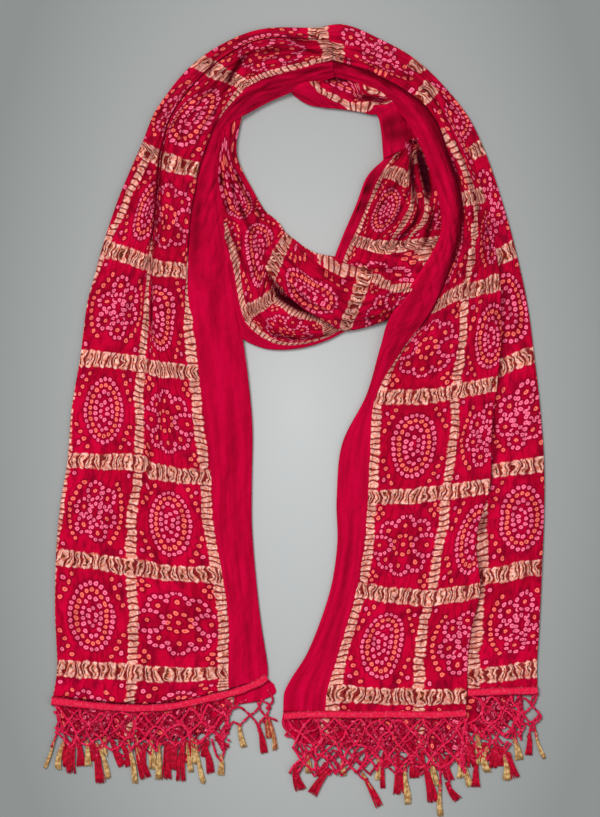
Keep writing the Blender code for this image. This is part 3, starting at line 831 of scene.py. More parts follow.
# The left end: from its hem up along the left side and over the neck, plain edge inwards.
LEFT_SHEET = sheet_rows(
    (206, 143, 131, 120, 116, 91, 60, 42, 25, 0),
    (-0.29, (3.6, 6, 3.6), (53, 696), (118, 702.5), (130.5, 703), (143, 703.5), (147, 703.5), (178, 701),
        (215.7, 691.9), (231.2, 687.9), (246, 684), (268, 676)),
    (0, (4, 7, 4), (57, 668), (120.5, 672), (132, 673), (144, 673), (148, 673.5), (178, 674), (215, 674),
        (230.8, 672.2), (245, 669), (267.5, 664)),
    (0.5, (4, 7, 4), (55, 612), (122, 619.5), (134, 620), (145.5, 620.5), (149.5, 621), (180, 623),
        (215.5, 624.6), (231.5, 624.2), (243, 623), (261, 622)),
    (1, (4, 7, 4), (56, 556, 208), (120, 565.5), (132, 567), (143, 568.5), (147, 569), (174, 573),
        (209, 574.6), (225, 575.8), (238, 577), (256, 578)),
    (1.5, (4, 7, 4), (60, 508, 211), (121, 515), (132.5, 516), (142.5, 518), (146.5, 520), (169, 522),
        (200.5, 523.6), (216.5, 524.3), (232, 525), (252, 526)),
    (2, (4, 7.5, 4), (67.5, 460, 211), (129, 463), (140, 464), (147, 465.5, 122), (150.5, 471, 118),
        (171, 474), (198.1, 477.1), (214, 478), (230, 478), (252, 478)),
    (2.5, (4.5, 8, 4.5), (71.5, 409, 208), (129, 413), (139.5, 414), (147, 416, 122), (151, 419, 118),
        (165, 421), (192.1, 424.9), (208, 426), (228, 426), (252.5, 427)),
    (3, (5, 9, 5.5), (80, 358), (132, 363), (142, 365), (149, 367, 122), (153, 368.5, 118), (165, 370),
        (186, 372.2), (202, 373.3), (222, 374), (248, 375)),
    (3.5, (5.5, 11, 8), (87.5, 302), (138, 312, 148), (146, 314), (150.5, 316, 124), (153, 317.5, 93),
        (155, 318), (182, 321.2), (196, 322), (215, 322), (240.5, 322)),
    (3.72, (5.8, 12, 9.5), (94, 278, 210), (142, 290, 149), (147.5, 291), (151, 293, 124), (153, 295, 98),
        (156, 296), (184, 298, 62), (190, 300), (213, 298), (237, 296)),
    (4, (6, 13, 11), (102.5, 247, 214), (146, 262.5, 150), (149.5, 264), (152, 266, 124), (154, 268, 100),
        (160, 269.5), (186, 272, 62), (189, 273, 40), (211, 273), (233.5, 270)),
    (4.5, (7, 15, 13), (119, 197, 226), (155, 212, 158), (156, 212.4, 122), (157, 213, 118),
        (158, 213.5, 112), (167, 218), (190, 222), (191.2, 222.4, 40), (209, 226), (227.5, 226)),
    (5, (0, 8, 17, 14, 2), (140, 148, 226), (159, 159, 196), (160, 160, 121), (161, 160.5, 118),
        (162.5, 161, 100), (170, 163), (199, 171), (200.2, 171.5, 40), (210, 176), (219.5, 180)),
    (5.09, (0, 8.1, 17.4, 13.8, 2.6), (143.13, 140.22, 203), (160.67, 150.14, 174), (161.67, 151.12, 121.2),
        (162.6, 151.6, 118.4), (164.13, 152.08, 102.2), (172.77, 154.1), (201.54, 161.96, 60.4),
        (202.75, 162.43, 40.4), (211.33, 167.07), (219.32, 171.15)),
    (5.5, (0, 8, 19.5, 12, 5), (158, 107, 203), (173.5, 112, 176), (174.5, 112.6, 122), (175, 113),
        (176.5, 113.4, 112), (193, 117), (216.6, 122.3, 62), (218.2, 123.2), (222.5, 128.5), (225, 132)),
    (6, (8, 21, 8), (198, 60, 203), (211, 68, 180), (212, 68.5, 124), (212.5, 69, 123), (214, 70, 120),
        (228, 77, 98), (242, 84), (247.5, 91), (251.5, 98), (257, 109)),
    (6.5, (0, 8, 22, 9, 2), (252, 31.5, 203), (258, 41, 184), (258.5, 42, 124), (259, 43, 123), (260, 44),
        (265, 54), (273.5, 70), (278.5, 77.5), (283, 84), (289, 94)),
    (7, (0, 8, 22, 12, 8), (316, 27.5, 203), (318, 40, 184), (318.5, 41, 124), (319, 41.5, 122),
        (330, 43, 112), (333, 50), (332.2, 56), (332.4, 63.5), (333.5, 69.5), (335, 78)),
)
LEFT_COUNTS = (24, 7, 6, 3, 12, 12, 7, 7, 9)

# The right end: from its hem up along the right side and over the neck to meet the left end.
RIGHT_SHEET = sheet_rows(
    (172, 155, 131, 91, 51, 42, 25, 0),
    (0.84, (3.0, 4.2, 4.4, 2.6, 0), (465, 710, 176), (441, 711, 153), (418, 711.5), (376, 712), (332, 711.5),
        (322, 711.5), (306, 711.5), (283, 711.5)),
    (1, (4.6, 7, 8, 4, 0), (466.5, 697, 176), (442, 697, 154), (418, 696.5), (378, 695), (334, 692),
        (324, 691.5), (309, 691), (285, 690)),
    (1.5, (4.8, 7.5, 8.5, 4, 0), (469, 641, 176), (446, 643), (420, 645), (382, 644), (345, 643), (339, 645),
        (327, 647), (308.5, 650)),
    (2, (5, 8, 9, 4, 0), (480, 589, 190), (455, 594, 160), (429, 598), (394, 594), (361, 589), (354.5, 589.5),
        (345, 590), (329.5, 592)),
    (2.5, (5, 8, 9.5, 4, 0), (476, 538), (458, 541, 152), (439.5, 544), (402, 545), (367.5, 545), (362, 545),
        (352, 545), (337, 545)),
    (3, (5, 8, 9.5, 4, 0), (489.5, 487, 180), (468, 489.5), (445.5, 492.5), (408, 496.5), (371.5, 498),
        (366, 498), (354, 498), (336.5, 498)),
    (3.5, (5, 8, 9.5, 4.5, 0), (491.5, 433, 180), (472, 437, 156), (453, 441), (414, 446), (373.5, 446),
        (368.5, 446), (358, 444), (342, 444)),
    (4, (5, 8, 10.5, 6, 0), (497, 384, 184), (476, 387.5, 156), (455, 392), (417, 397.5), (379, 397),
        (374.5, 396.5), (371, 396), (366, 395)),
    (4.5, (5, 8.5, 12, 9, 1), (501, 336, 184), (481, 340, 158), (461.5, 345), (427, 348), (405, 349, 62),
        (402, 349), (392, 347, 22), (380, 347)),
    (5, (4.8, 9, 16, 15, 7), (500, 283, 184), (483, 287, 154), (465, 292), (447, 300, 104), (434, 308, 70),
        (432, 308), (420, 309), (391, 314)),
    (5.5, (5, 9.5, 19, 17, 6), (492, 232), (482, 236, 145), (473, 240), (463, 241, 115), (458, 241, 104),
        (456.5, 241), (447, 241, 22), (437, 241)),
    (6, (6, 11, 20, 17, 8), (484, 196, 158), (479, 197, 143), (474, 198), (468, 199, 120), (461, 200, 104),
        (459.5, 200), (449, 202, 22), (438.5, 204)),
    (6.5, (8, 14, 20, 16, 8), (464, 141), (460, 143.5, 150), (453, 148), (449, 150, 127), (447, 151, 125),
        (445, 152), (435, 156, 22), (424, 158)),
    (6.75, (9, 15, 20.5, 15, 8), (450, 111), (445, 115, 157), (438, 120, 141), (437, 121, 140),
        (436, 122, 139), (434.5, 123), (424, 131, 22), (414, 137)),
    (7, (10, 16, 21, 14, 8), (431, 85, 168), (428.5, 89, 157), (421, 97.5, 141), (419.5, 99, 140),
        (418, 100.5, 139), (416.5, 102), (409, 109.5, 22), (402, 117)),
    (7.5, (11, 17, 21, 13, 8), (386, 56), (382.5, 66, 156), (380, 73.5, 141), (379, 76, 140), (378, 77, 139),
        (377.5, 78), (374, 84, 22), (371, 90)),
    (8.04, (11, 16, 19.5, 11, 7), (331, 42, 168), (332, 50), (333, 58, 141), (333, 60, 140),
        (333.2, 61.5, 139), (333.5, 62.5), (334, 70, 22), (336, 78)),
    (8.2, (9, 13, 16, 9, 5), (317, 43, 168), (318, 50), (319, 58, 141), (319, 60, 140), (319.2, 61.5, 139),
        (319.5, 63), (320, 70, 22), (321, 77)),
)
RIGHT_COUNTS = (11, 11, 14, 13, 4, 6, 8)

# The pleat at the far right, which runs over the neck above the right end.
UPPER_LANE = sheet_rows(
    (350, 331, 291, 282),
    (0.84, (2.6, 3.2, 3), (537.5, 688, 349), (519, 689), (476, 689.5, 293), (463, 690)),
    (1, (3.8, 5, 4.4), (537, 668, 349), (519, 670), (474, 676), (462, 678)),
    (1.5, (4, 5.3, 4.6), (539.5, 622, 351), (520.5, 625), (476, 631), (464, 633, 281)),
    (2, (4, 5.5, 4.8), (542, 567, 353), (521, 570), (483, 576, 293), (470, 579, 283)),
    (2.5, (4, 5.5, 4.8), (544, 516, 353), (521.5, 518), (482, 522), (471, 524, 281)),
    (3, (4, 5.6, 4.8), (544, 463, 352), (522, 466), (486, 471, 297), (478, 472, 290)),
    (3.5, (4, 5.8, 4.8), (540.5, 412), (520, 419), (488, 426, 300), (480, 428, 293)),
    (4, (4.2, 6, 4.8), (534, 355, 347), (519, 360), (496, 368, 307), (486, 371, 298)),
    (4.5, (4.4, 6.5, 4.8), (527, 303, 356), (506, 309), (494, 314, 322), (486, 316, 315)),
    (5, (4.6, 7, 4.8), (515, 248, 352), (505, 253, 338), (494, 259, 325), (486, 263, 317)),
    (5.5, (5, 8, 5), (501, 198, 352), (493, 202, 340), (486, 206, 330), (478, 210, 322)),
    (6, (6, 9.5, 7), (483, 147), (477, 150, 340), (471, 154, 330), (465, 158, 322)),
    (6.5, (0, 7.5, 12, 9, 2), (463, 109), (453, 114), (444, 119, 318), (437, 123, 310)),
    (7, (0, 8, 14, 11, 4), (420, 63), (415, 69, 338), (409, 76, 325), (404, 82, 316)),
    (7.5, (0, 8, 15, 12, 5), (378, 38), (374, 45, 340), (370, 52.5, 328), (367, 59, 320)),
    (7.8, (0, 8, 15, 12.5, 5), (343, 24.6, 348), (342, 33.5, 338), (340.5, 44, 327), (340, 51.5, 319)),
    (8.03, (0, 8, 15, 13, 5), (314, 28.5, 346), (315, 35, 336), (316, 42, 326), (318, 47, 318)),
)
UPPER_COUNTS = (10, 17, 6)

# The neck loop: its base, the fold laid over that, the collar across both, and the arc inside the neck.
LOOP_BASE = sheet_rows(
    (30, 51, 91, 120, 150),
    (1.1, (2, 6, 10, 5, 0), (208, 140, 58), (213, 136, 66), (222, 126, 84), (231, 118, 104), (243, 110, 122)),
    (1.26, (7, 14, 7), (209, 180, 58), (214, 178, 66), (222, 170, 84), (230, 162, 104), (237, 155, 122)),
    (1.52, (7, 16, 7), (212, 222, 52), (224, 214, 64), (240, 202, 90), (250, 197, 112), (255, 194, 122)),
    (1.88, (7, 17, 7), (217, 247.2, 25), (229, 234.2, 54), (248, 221.2), (259, 212.2, 116),
        (264, 209.2, 126)),
    (1.885, (7, 17, 7), (217.2, 247.9, 25), (229.3, 234.9, 54), (248.4, 221.9), (259.4, 212.9, 117),
        (264.4, 209.9, 127)),
    (1.5, (7, 15, 8), (226, 290, 20), (236, 264), (262, 246), (276, 235, 118), (283, 229, 127)),
    (1, (6, 11, 8), (240, 336, 25), (246, 316), (258, 308), (269, 301, 122), (286, 286)),
    (0.75, (5.5, 9.5, 7), (256, 346, 28), (261, 333), (270, 322), (279, 312), (292, 292, 152)),
    (0.5, (5, 9, 7), (277, 350), (280, 343), (288, 333, 93), (294, 322), (307, 298)),
    (0.25, (5, 8.5, 7), (303, 348), (304, 343), (307, 336, 93), (311, 325), (319, 302)),
    (0.06, (5, 8, 7), (326, 341), (325, 337), (324, 333, 95), (323, 324, 128), (322, 308)),
    (-0.1, (4, 8, 7), (346, 331), (344, 327), (341, 321, 95), (339, 315, 131), (335, 304)),
)
BASE_COUNTS = (7, 13, 11, 7)

LOOP_FOLD = sheet_rows(
    (70, 91, 131, 124),
    (0.86, (12, 16, 19, 8, 0), (261, 262), (266, 252), (276, 238, 118), (283, 229)),
    (1, (11, 19, 22, 8, 0), (271, 277, 66), (276, 264, 88), (282, 250, 110), (289, 235, 122)),
    (1.5, (10, 23, 27, 7, 0), (299, 306), (308, 293), (313, 272, 118), (314, 252, 126)),
    (1.75, (9, 23, 27, 8, 0), (325, 322, 66), (331, 304), (335, 276, 123), (337, 257, 138)),
    (2, (0, 8, 25, 14, 6), (346, 331, 68), (355, 308, 95), (366, 277), (368, 264, 144)),
    (2.5, (0, 8, 20, 14, 7), (385, 321, 85), (390, 308, 104), (397, 289), (400, 277, 142)),
    (2.9, (0, 7, 13, 10, 6), (412, 304, 98), (415, 299, 112), (421, 288), (424, 281, 140)),
)
FOLD_COUNTS = (13, 16, 12)

LOOP_COLLAR = sheet_rows(
    (0, 25, 56, 64, 127, 141, 118, 134, 180),
    (4.3, (8, 15, 8), (383, 160, 20), (391, 157, 34), (397, 151, 42), (405, 143), (411, 140, 80),
        (413.5, 139.3, 92), (417, 139, 100), (425, 141, 118), (444, 150, 150)),
    (4, (7, 19, 7), (366, 178), (375, 175.5), (384, 174.5), (396, 178, 91), (406.5, 184, 113),
        (409, 167, 120), (411, 161, 122), (420, 157, 128), (447, 160, 160)),
    (3.5, (6, 21, 6), (356.5, 203), (363, 206), (369, 208), (389, 211, 96), (410, 213, 131),
        (416, 213.5, 143), (418, 213.5, 120), (427, 214, 133), (448, 213, 170)),
    (3.12, (6, 20, 7), (348.5, 222), (354, 228), (359, 232), (375, 237, 93), (392, 238), (399, 238),
        (401, 238), (411, 237), (448, 232)),
    (3.06, (6, 19.7, 7.3), (347, 225.5), (352, 231.7), (357, 236.3), (373, 241.5, 93.5), (390, 243),
        (397, 242.8), (399, 242.8), (408.6, 241.8), (447, 236.5)),
    (2.94, (6, 19.2, 7.8), (344, 232.4), (348.4, 239.2), (353.4, 244.8), (369.5, 250.6, 86),
        (385.6, 253.2, 102), (392.6, 252.4, 109), (394.6, 252.4, 111), (403.8, 251.4, 119),
        (445.6, 245.6, 146)),
    (2.72, (6, 17, 9), (337, 250), (341, 256), (346, 262), (368, 268, 84), (392, 270, 104), (402, 270, 112),
        (404, 270, 113), (412, 269, 120), (441, 264, 140)),
    (2.48, (6, 15, 9), (333, 262), (338, 268), (345, 275), (366, 287, 79), (388, 289, 100), (396, 290, 108),
        (398, 290, 110), (406, 291, 117), (430, 292, 138)),
)
COLLAR_COUNTS = (6, 6, 12, 12, 5, 3, 7, 10)

INNER_ARC = sheet_rows(
    (2, 12, 22, 32, 0),
    (5.12, (7, 8, 5), (288, 84, 45), (289, 87, 32), (290, 90, 20), (290.5, 92, 10), (291, 94)),
    (5.22, (10, 12, 5), (302, 74, 50), (303, 82, 40), (303.5, 90, 28), (305, 97, 15), (306, 104)),
    (5.38, (10, 13, 6), (322, 74, 75), (322, 82, 66), (322.5, 91, 55), (323, 100, 35), (323, 108, 10)),
    (5.5, (9, 12, 6), (338, 72, 95), (338, 82, 80), (337, 91, 66), (335, 100, 50), (334, 109, 25)),
    (5.6, (9, 12, 6), (352, 74, 110), (352, 84, 92), (351.5, 93, 72), (351, 102, 58), (350, 111, 46)),
    (5.72, (9, 13, 7), (368, 76, 140), (367, 89, 131), (365.5, 95, 125), (364, 101, 60), (362, 113, 48)),
    (5.82, (9, 13, 7), (384, 84, 150), (385.5, 94, 132), (384, 98, 126), (377, 106, 44), (370, 115, 42)),
    (5.9, (9, 14, 7), (402, 95, 60), (398, 99, 44), (394, 102, 42), (386, 108, 40), (377, 116, 38)),
    (6.15, (9, 15, 7), (412, 122), (404, 125), (397, 128), (390, 131), (381, 134, 40)),
    (6.4, (9, 15, 8), (416, 143), (408, 148), (401, 151), (393, 155), (383, 160, 40)),
)
ARC_COUNTS = (6, 6, 6, 6)

# Thin layers of cloth that show under the nets and beside the left end's border.
UNDER_LEFT = sheet_rows(
    (206, 160, 120, 91, 50),
    (-0.25, (1.2, 1.5, 1.2), (56, 700), (100, 704), (143, 706), (180, 704), (232, 695)),
    (-0.40, (1.2, 1.5, 1.2), (57, 719), (100, 722), (143, 725), (180, 722), (232, 708, 54)),
    (-0.56, (1.2, 1.5, 1.2), (62, 733, 204), (100, 738), (143, 740), (180, 738), (217, 730, 62)),
)

UNDER_RIGHT = sheet_rows(
    (0, 51, 91, 131, 176),
    (-0.22, (1.2, 1.5, 1.2), (283.5, 711), (322, 713), (376, 713), (420, 713), (464, 712)),
    (-0.38, (1.2, 1.5, 1.2), (283, 727, 4), (326, 732), (376, 732), (420, 732), (464, 730)),
    (-0.56, (1.2, 1.5, 1.2), (299, 743, 12), (344, 746, 56), (384, 750, 95), (422, 754), (462, 750, 174)),
)

UNDER_LANE = sheet_rows(
    (302, 318, 333, 346),
    (-0.22, (1.2, 1.5, 1.2), (466, 690), (484, 691), (500, 691), (514, 691)),
    (-0.38, (1.2, 1.5, 1.2), (466, 708), (484, 710), (500, 710), (513, 710, 345)),
    (-0.55, (1.2, 1.5, 1.2), (467, 732), (482, 734, 316), (494, 733, 327), (506, 728, 338)),
)

BORDER_FLARE = sheet_rows(
    (40, 24, 12, 2),
    (-0.20, (1.4, 1.9, 1.4), (234, 687), (252, 681), (264, 677), (274, 684)),
    (-0.26, (1.4, 1.9, 1.4), (234, 697), (252, 692), (265, 688), (276, 692)),
    (-0.33, (1.4, 1.9, 1.4), (234, 705), (248, 703, 26), (259, 701, 14), (270, 697, 3)),
)

# Folds and shaded hollows of each sheet.
LEFT_FOLDS = folds_of(
    (((140, 312), (141, 296), (145, 276), (151, 262), (155, 250), (156.5, 235), (157, 215), (158, 190),
      (160, 165), (163, 145), (166, 126), (171, 112), (179, 98), (188, 84), (197, 73)), -2.2, 4.0, 0.62),
    (((131, 280), (129, 305), (133, 330), (139, 352)), -1.8, 3.2, 0.4),
    (((124, 350), (122, 310), (130, 270), (141, 230), (149, 198), (153, 163), (157, 130), (166, 104),
      (180, 82)), 2.2, 6.0),
    (((146, 352), (149, 320), (152, 296), (153, 278)), -1.2, 2.2, 0.3),
    (((145, 700), (146, 620), (145, 567), (145, 518), (149, 468), (150, 418), (151, 368)), -1.2, 2.4, 0.35),
    (((221, 100), (226, 86), (232, 74), (240, 64), (249, 57), (268, 52), (290, 50), (314, 54)),
      -3.0, 3.2, 0.85),
    (((223, 94), (229, 82), (235, 71), (242, 61), (252, 52)), -2.6, 3.4, 1.2),
    (((223, 48), (215, 59), (211, 70), (206, 88)), -1.8, 1.8, 1.0),
    (((294, 53), (303, 51.5), (313, 53), (324, 57)), -1.6, 2.0, 1.0),
    (((284, 82), (300, 76), (316, 71), (334, 66.5)), -1.6, 2.6, 0.7),
    (((206, 104), (214, 92), (219, 80), (226, 70)), -1.6, 2.6, 0.55),
    (((282, 30), (292, 40), (300, 44), (318, 47)), -2.4, 3.2, 0.7),
    (((214, 58), (226, 48), (240, 40), (262, 36)), -1.4, 2.6, 0.45),
    (((163, 100), (172, 84), (184, 70), (200, 56)), -1.2, 2.2, 0.35),
    (((160, 240), (161, 215), (163, 185), (165, 165)), -1.0, 2.0, 0.3),
    (((204, 96), (222, 76), (245, 57), (272, 44)), 1.6, 4.5),
    (((196, 288), (196, 255), (197, 222), (203, 190), (209, 160), (216, 134)), -1.5, 4.0, 0.55),
    (((204, 152), (212, 134), (221, 117), (232, 103)), -1.2, 3.0, 0.5),
    (((232, 112), (250, 98), (272, 84), (296, 77)), -1.5, 2.8, 0.55),
    (((213, 350), (211, 300), (208, 260), (206, 230)), 1.2, 3.0),
    (((220, 345), (219, 300), (218, 255), (214, 215)), -1.3, 2.6, 0.3),
    (((232, 340), (230, 290), (228, 240)), 1.0, 2.5),
    (((233, 436), (229, 465), (225, 496)), -1.4, 3.0, 0.35),
    (((246, 515), (241, 540), (236, 566)), -1.2, 3.0, 0.3),
    (((249, 590), (246, 625), (250, 664)), -1.0, 3.0, 0.3),
    (((104, 694), (97, 600), (98, 520), (108, 440), (114, 370)), 0.9, 9.0),
    (((78, 690), (76, 610), (78, 540), (88, 470)), -0.8, 7.0, 0.15),
    (((204, 690), (196, 600), (190, 520), (181, 430), (176, 376)), 0.8, 8.0),
    (((240, 668), (238, 620), (232, 570)), 1.0, 5.0),
)

RIGHT_FOLDS = folds_of(
    (((398, 92), (414, 104), (427, 118), (438, 136), (446, 154), (456, 180), (461, 210), (459, 242),
      (452, 262), (443, 278), (436, 296)), -5.0, 4.0, 1.25),
    (((436, 296), (422, 312), (412, 330), (400, 356), (388, 380)), -1.6, 4.0, 0.6),
    (((372, 80), (400, 100), (425, 130), (440, 165), (449, 200), (448, 240), (438, 270), (424, 292),
      (402, 310)), 1.6, 5.0),
    (((418, 300), (406, 326), (392, 352), (380, 384)), -1.4, 3.0, 0.45),
    (((430, 270), (420, 296), (404, 318)), -1.2, 3.0, 0.35),
    (((337, 44), (338, 60), (339, 84)), -3.0, 3.0, 0.7),
    (((334, 60), (341, 69), (347, 81)), -1.0, 5.0, 0.8),
    (((345, 50), (362, 54), (382, 64), (404, 78), (420, 92)), -1.4, 2.6, 0.5),
    (((366, 78), (384, 84), (404, 98)), -1.5, 3.0, 0.6),
    (((330, 66), (350, 67.5), (370, 75), (388, 87), (404, 104)), -2.0, 3.2, 0.9),
    (((488, 284), (484, 254), (481, 226), (478, 204), (470, 176)), -2.2, 3.0, 0.6),
    (((471, 330), (472, 300), (476, 262), (477, 232), (473, 206)), -1.4, 2.6, 0.5),
    (((462, 280), (466, 254), (468, 226)), -1.2, 2.4, 0.45),
    (((497, 330), (495, 300), (491, 262)), -1.4, 3.0, 0.6),
    (((440, 696), (445, 600), (462, 500), (470, 400), (481, 320)), 0.9, 8.0),
    (((356, 700), (371, 600), (386, 500), (394, 420)), 0.8, 9.0),
    (((410, 640), (421, 560), (428, 480), (440, 400)), -0.8, 7.0, 0.2),
    (((312, 690), (330, 640), (345, 580), (354, 520), (356, 460)), -1.2, 4.0, 0.25),
)

LANE_FOLDS = folds_of(
    (((468, 694), (471, 641), (482, 590), (478, 545), (491, 490), (493, 433), (498, 384), (503, 336),
      (502, 283), (495, 232), (487, 196), (468, 150)), -0.6, 4.0, 0.75),
    (((512, 340), (510, 300), (504, 262)), -1.2, 2.6, 0.6),
    (((519, 350), (517, 310), (510, 270)), -0.8, 2.4, 0.4),
    (((503, 680), (500, 600), (502, 520), (506, 440), (510, 370)), 0.6, 7.0),
    (((528, 640), (531, 560), (532, 470)), -0.6, 5.0, 0.15),
    (((476, 150), (464, 128), (446, 102), (420, 78), (388, 58), (350, 44)), -1.6, 2.6, 0.6),
)

BASE_FOLDS = folds_of(
    (((222, 134), (219, 160), (224, 195), (231, 226), (235, 250)), -2.8, 3.2, 0.98),
    (((229, 136), (227, 165), (235, 196), (247, 222), (258, 244), (266, 262)), -2.4, 2.6, 0.95),
    (((234, 140), (234, 168), (245, 194), (260, 214), (276, 232)), -2.2, 2.4, 0.9),
    (((214, 176), (218, 205), (226, 234), (234, 262), (244, 290)), -1.6, 2.4, 0.8),
    (((224, 214), (234, 240), (243, 262), (254, 282)), -2.0, 2.4, 0.85),
    (((268, 266), (273, 284), (281, 297), (296, 306), (312, 313), (330, 321)), -4.0, 4.4, 1.6),
    (((258, 326), (276, 336), (300, 339), (332, 335)), -1.8, 2.4, 0.8),
    (((246, 300), (256, 316), (272, 328)), -1.4, 2.4, 0.6),
    (((252, 262), (262, 280), (270, 292)), -1.4, 2.6, 0.6),
    (((238, 180), (252, 214), (264, 236)), 1.2, 5.0),
)

FOLD_FOLDS = folds_of(
    (((316, 262), (335, 270), (352, 275), (366, 278), (382, 284), (404, 290)), 1.4, 4.5),
    (((300, 260), (322, 274), (344, 286), (348, 306)), -1.3, 3.5, 0.4),
    (((374, 290), (388, 296), (404, 300)), -1.2, 3.0, 0.5),
    (((290, 262), (284, 276), (292, 292)), 0.9, 5.0),
)

COLLAR_FOLDS = folds_of(
    (((415, 141), (419, 154), (423, 168), (426, 182), (428, 192), (425, 205)), -8.0, 5.5, 1.9),
    (((412.5, 142), (411.5, 160), (412, 178), (413.5, 196), (416, 209)), -3.0, 3.6, 1.3),
    (((386, 257), (404, 256), (424, 252), (438, 250)), -1.2, 1.7, 0.8),
    (((391, 166), (400, 155), (408, 147)), -1.5, 4.0, 0.8),
    (((425, 205), (419, 214), (413, 225), (404, 236), (396, 246)), -3.6, 2.6, 1.15),
    (((434, 206), (431, 220), (427, 234), (423, 246), (420, 254)), -4.0, 3.0, 1.3),
    (((405, 226), (398, 236), (388, 246)), 1.6, 3.0),
    (((364, 244), (369, 228), (378, 210), (391, 192), (403, 176), (411, 160)), -2.2, 2.2, 0.75),
    (((376, 248), (386, 232), (398, 214), (408, 196), (414, 176)), -2.0, 2.4, 0.85),
    (((356, 232), (362, 214), (372, 196), (386, 178), (398, 164)), -1.6, 2.2, 0.6),
    (((384, 250), (395, 236), (406, 219), (415, 203)), -1.6, 2.0, 0.6),
    (((384, 163), (368, 184), (356, 204), (346, 226), (336, 250)), 0.0, 9.0, 0.98),
    (((338, 262), (350, 268), (366, 268)), -1.5, 3.0, 0.6),
    (((352, 262), (372, 270), (392, 270), (412, 272)), -1.6, 2.6, 0.6),
    (((408, 152), (416, 146), (424, 148)), -1.0, 6.0, 0.9),
)

ARC_FOLDS = folds_of(
    (((320, 90), (342, 96), (362, 94), (376, 92), (388, 98)), 2.0, 3.0),
    (((306, 82), (330, 80), (352, 80), (372, 82)), -3.0, 4.0, 0.9),
    (((346, 101), (360, 101), (374, 99), (388, 104)), -2.2, 2.6, 0.9),
    (((399, 106), (405, 120), (412, 142)), -2.0, 3.0, 0.6),
    (((392, 112), (388, 124), (396, 150)), -1.2, 3.0, 0.4),
    (((410, 110), (414, 126), (418, 142)), -2.0, 4.0, 0.8),
    (((384, 116), (392, 130), (398, 146)), 0.0, 22.0, 0.8),
    (((404, 116), (409, 132), (411, 150)), 0.0, 12.0, 0.5),
)

# Painted shade on the cloth under each net.
LEFT_NET_SHADE = folds_of(
    (((58, 722), (100, 727), (143, 729), (180, 727), (222, 718)), 0.0, 14.0, 0.45),
)
RIGHT_NET_SHADE = folds_of(
    (((290, 728), (340, 730), (400, 735), (466, 734)), 0.0, 15.0, 0.15),
)
LANE_NET_SHADE = folds_of(
    (((464, 712), (490, 713), (516, 712)), 0.0, 15.0, 0.6),
)


# ---------------------------------------------------------------- tape, net and tassels

TAPE_HALF, TAPE_STEP = 4.2, 1.5   # half the tape's width, and the spacing of its sections
TAPE_LEVEL, TAPE_UNDER = 3.1, 2.4  # height of the tape's middle, and how far its oval reaches below that
TAPE_OVER, RIDGE_TALL = 2.0, 0.55  # how far the oval reaches above its middle, and the ridges above that
PLAIT, PLAIT_TALL = 3.4, 0.22     # length and height of one plait of the tape
CORD_POINTS = 11                  # points along one cord of net
PLY_OUT, PLY_RADIUS = 0.62, 0.8   # how far a ply's middle lies off its cord's, and its own radius
# Knots and loose cords take tones on the nets' scale of painted shade.
KNOT_HALF, KNOT_TONE = 1.7, 0.7
NODE_STRAY, LEVEL_STRAY = 1.6, 0.15  # how far a net's nodes stray over the floor and in height
CORD_BOW, CORD_HUMP = 2.0, 0.7    # how far a cord swings to a side and up between two nodes
LONGEST, SHORTEST = 1.8, 0.3      # a cord's length, in cells
LOOSE_LEVEL, LOOSE_TONE = 2.4, 0.5  # height and tone of the loose cords
STRANDS = 26                      # in one tassel
STRAND_RADII = np.array([0.45, 0.6, 0.62, 0.62, 0.62, 0.6, 0.58, 0.52, 0.3])  # from root to foot
ROOT_LEVEL, FOOT_LEVEL = 2.3, 1.5  # height of a tassel's middle at its two ends
TIE_AT, TIE_LONG = 0.16, 0.07     # shares of a tassel's length where it is tied, and over which it is pinched
TIE_TURNS, TIE_RADIUS, TIE_LEVEL = 2.6, 0.42, 2.2
TIE_START, TIE_TALL = 2.6, 2.2    # how far below its root a tassel is tied, and over what length
WAIST, WAIST_PINCH, FOOT_SPREAD = 0.30, 0.12, 0.86  # shares of a tassel's width that its strands spread over
TASSEL_BEND, STRAND_STRAY = 1.1, 0.35  # how far a whole tassel and a single strand swing to a side

# One layer of net: its cells' width along the hem and depth, how far along the hem it starts, its height
# above the floor, and its tone, from 0 for deep crimson to 1 for pinkish red: painted shade that darkens the
# lower layers.
Layer = namedtuple("Layer", "cell depth shift level tone")
NET_LAYERS = (
    Layer(22.0, 13.0, 2.0, 3.4, 0.8),
    Layer(21.0, 12.5, 12.0, 2.8, 0.5),
    Layer(25.0, 14.0, 6.0, 2.3, 0.2),
    Layer(17.0, 11.0, 9.0, 2.0, 0.05),
)

# Each hem: the line its tape follows, then the line its net hangs from, the rows of net, and loose cords.
Hem = namedtuple("Hem", "tape net_top net_rows cords")

# One tassel: where it starts, where its foot ends, the foot's width, and how golden it is.
Tassel = namedtuple("Tassel", "root foot width gold", defaults=(0.0,))


def tassels_of(*table):
    """Tassels from (root right, root down, foot right, foot down, width), some with how golden."""
    return [Tassel(entry[:2], entry[2:4], *entry[4:]) for entry in table]


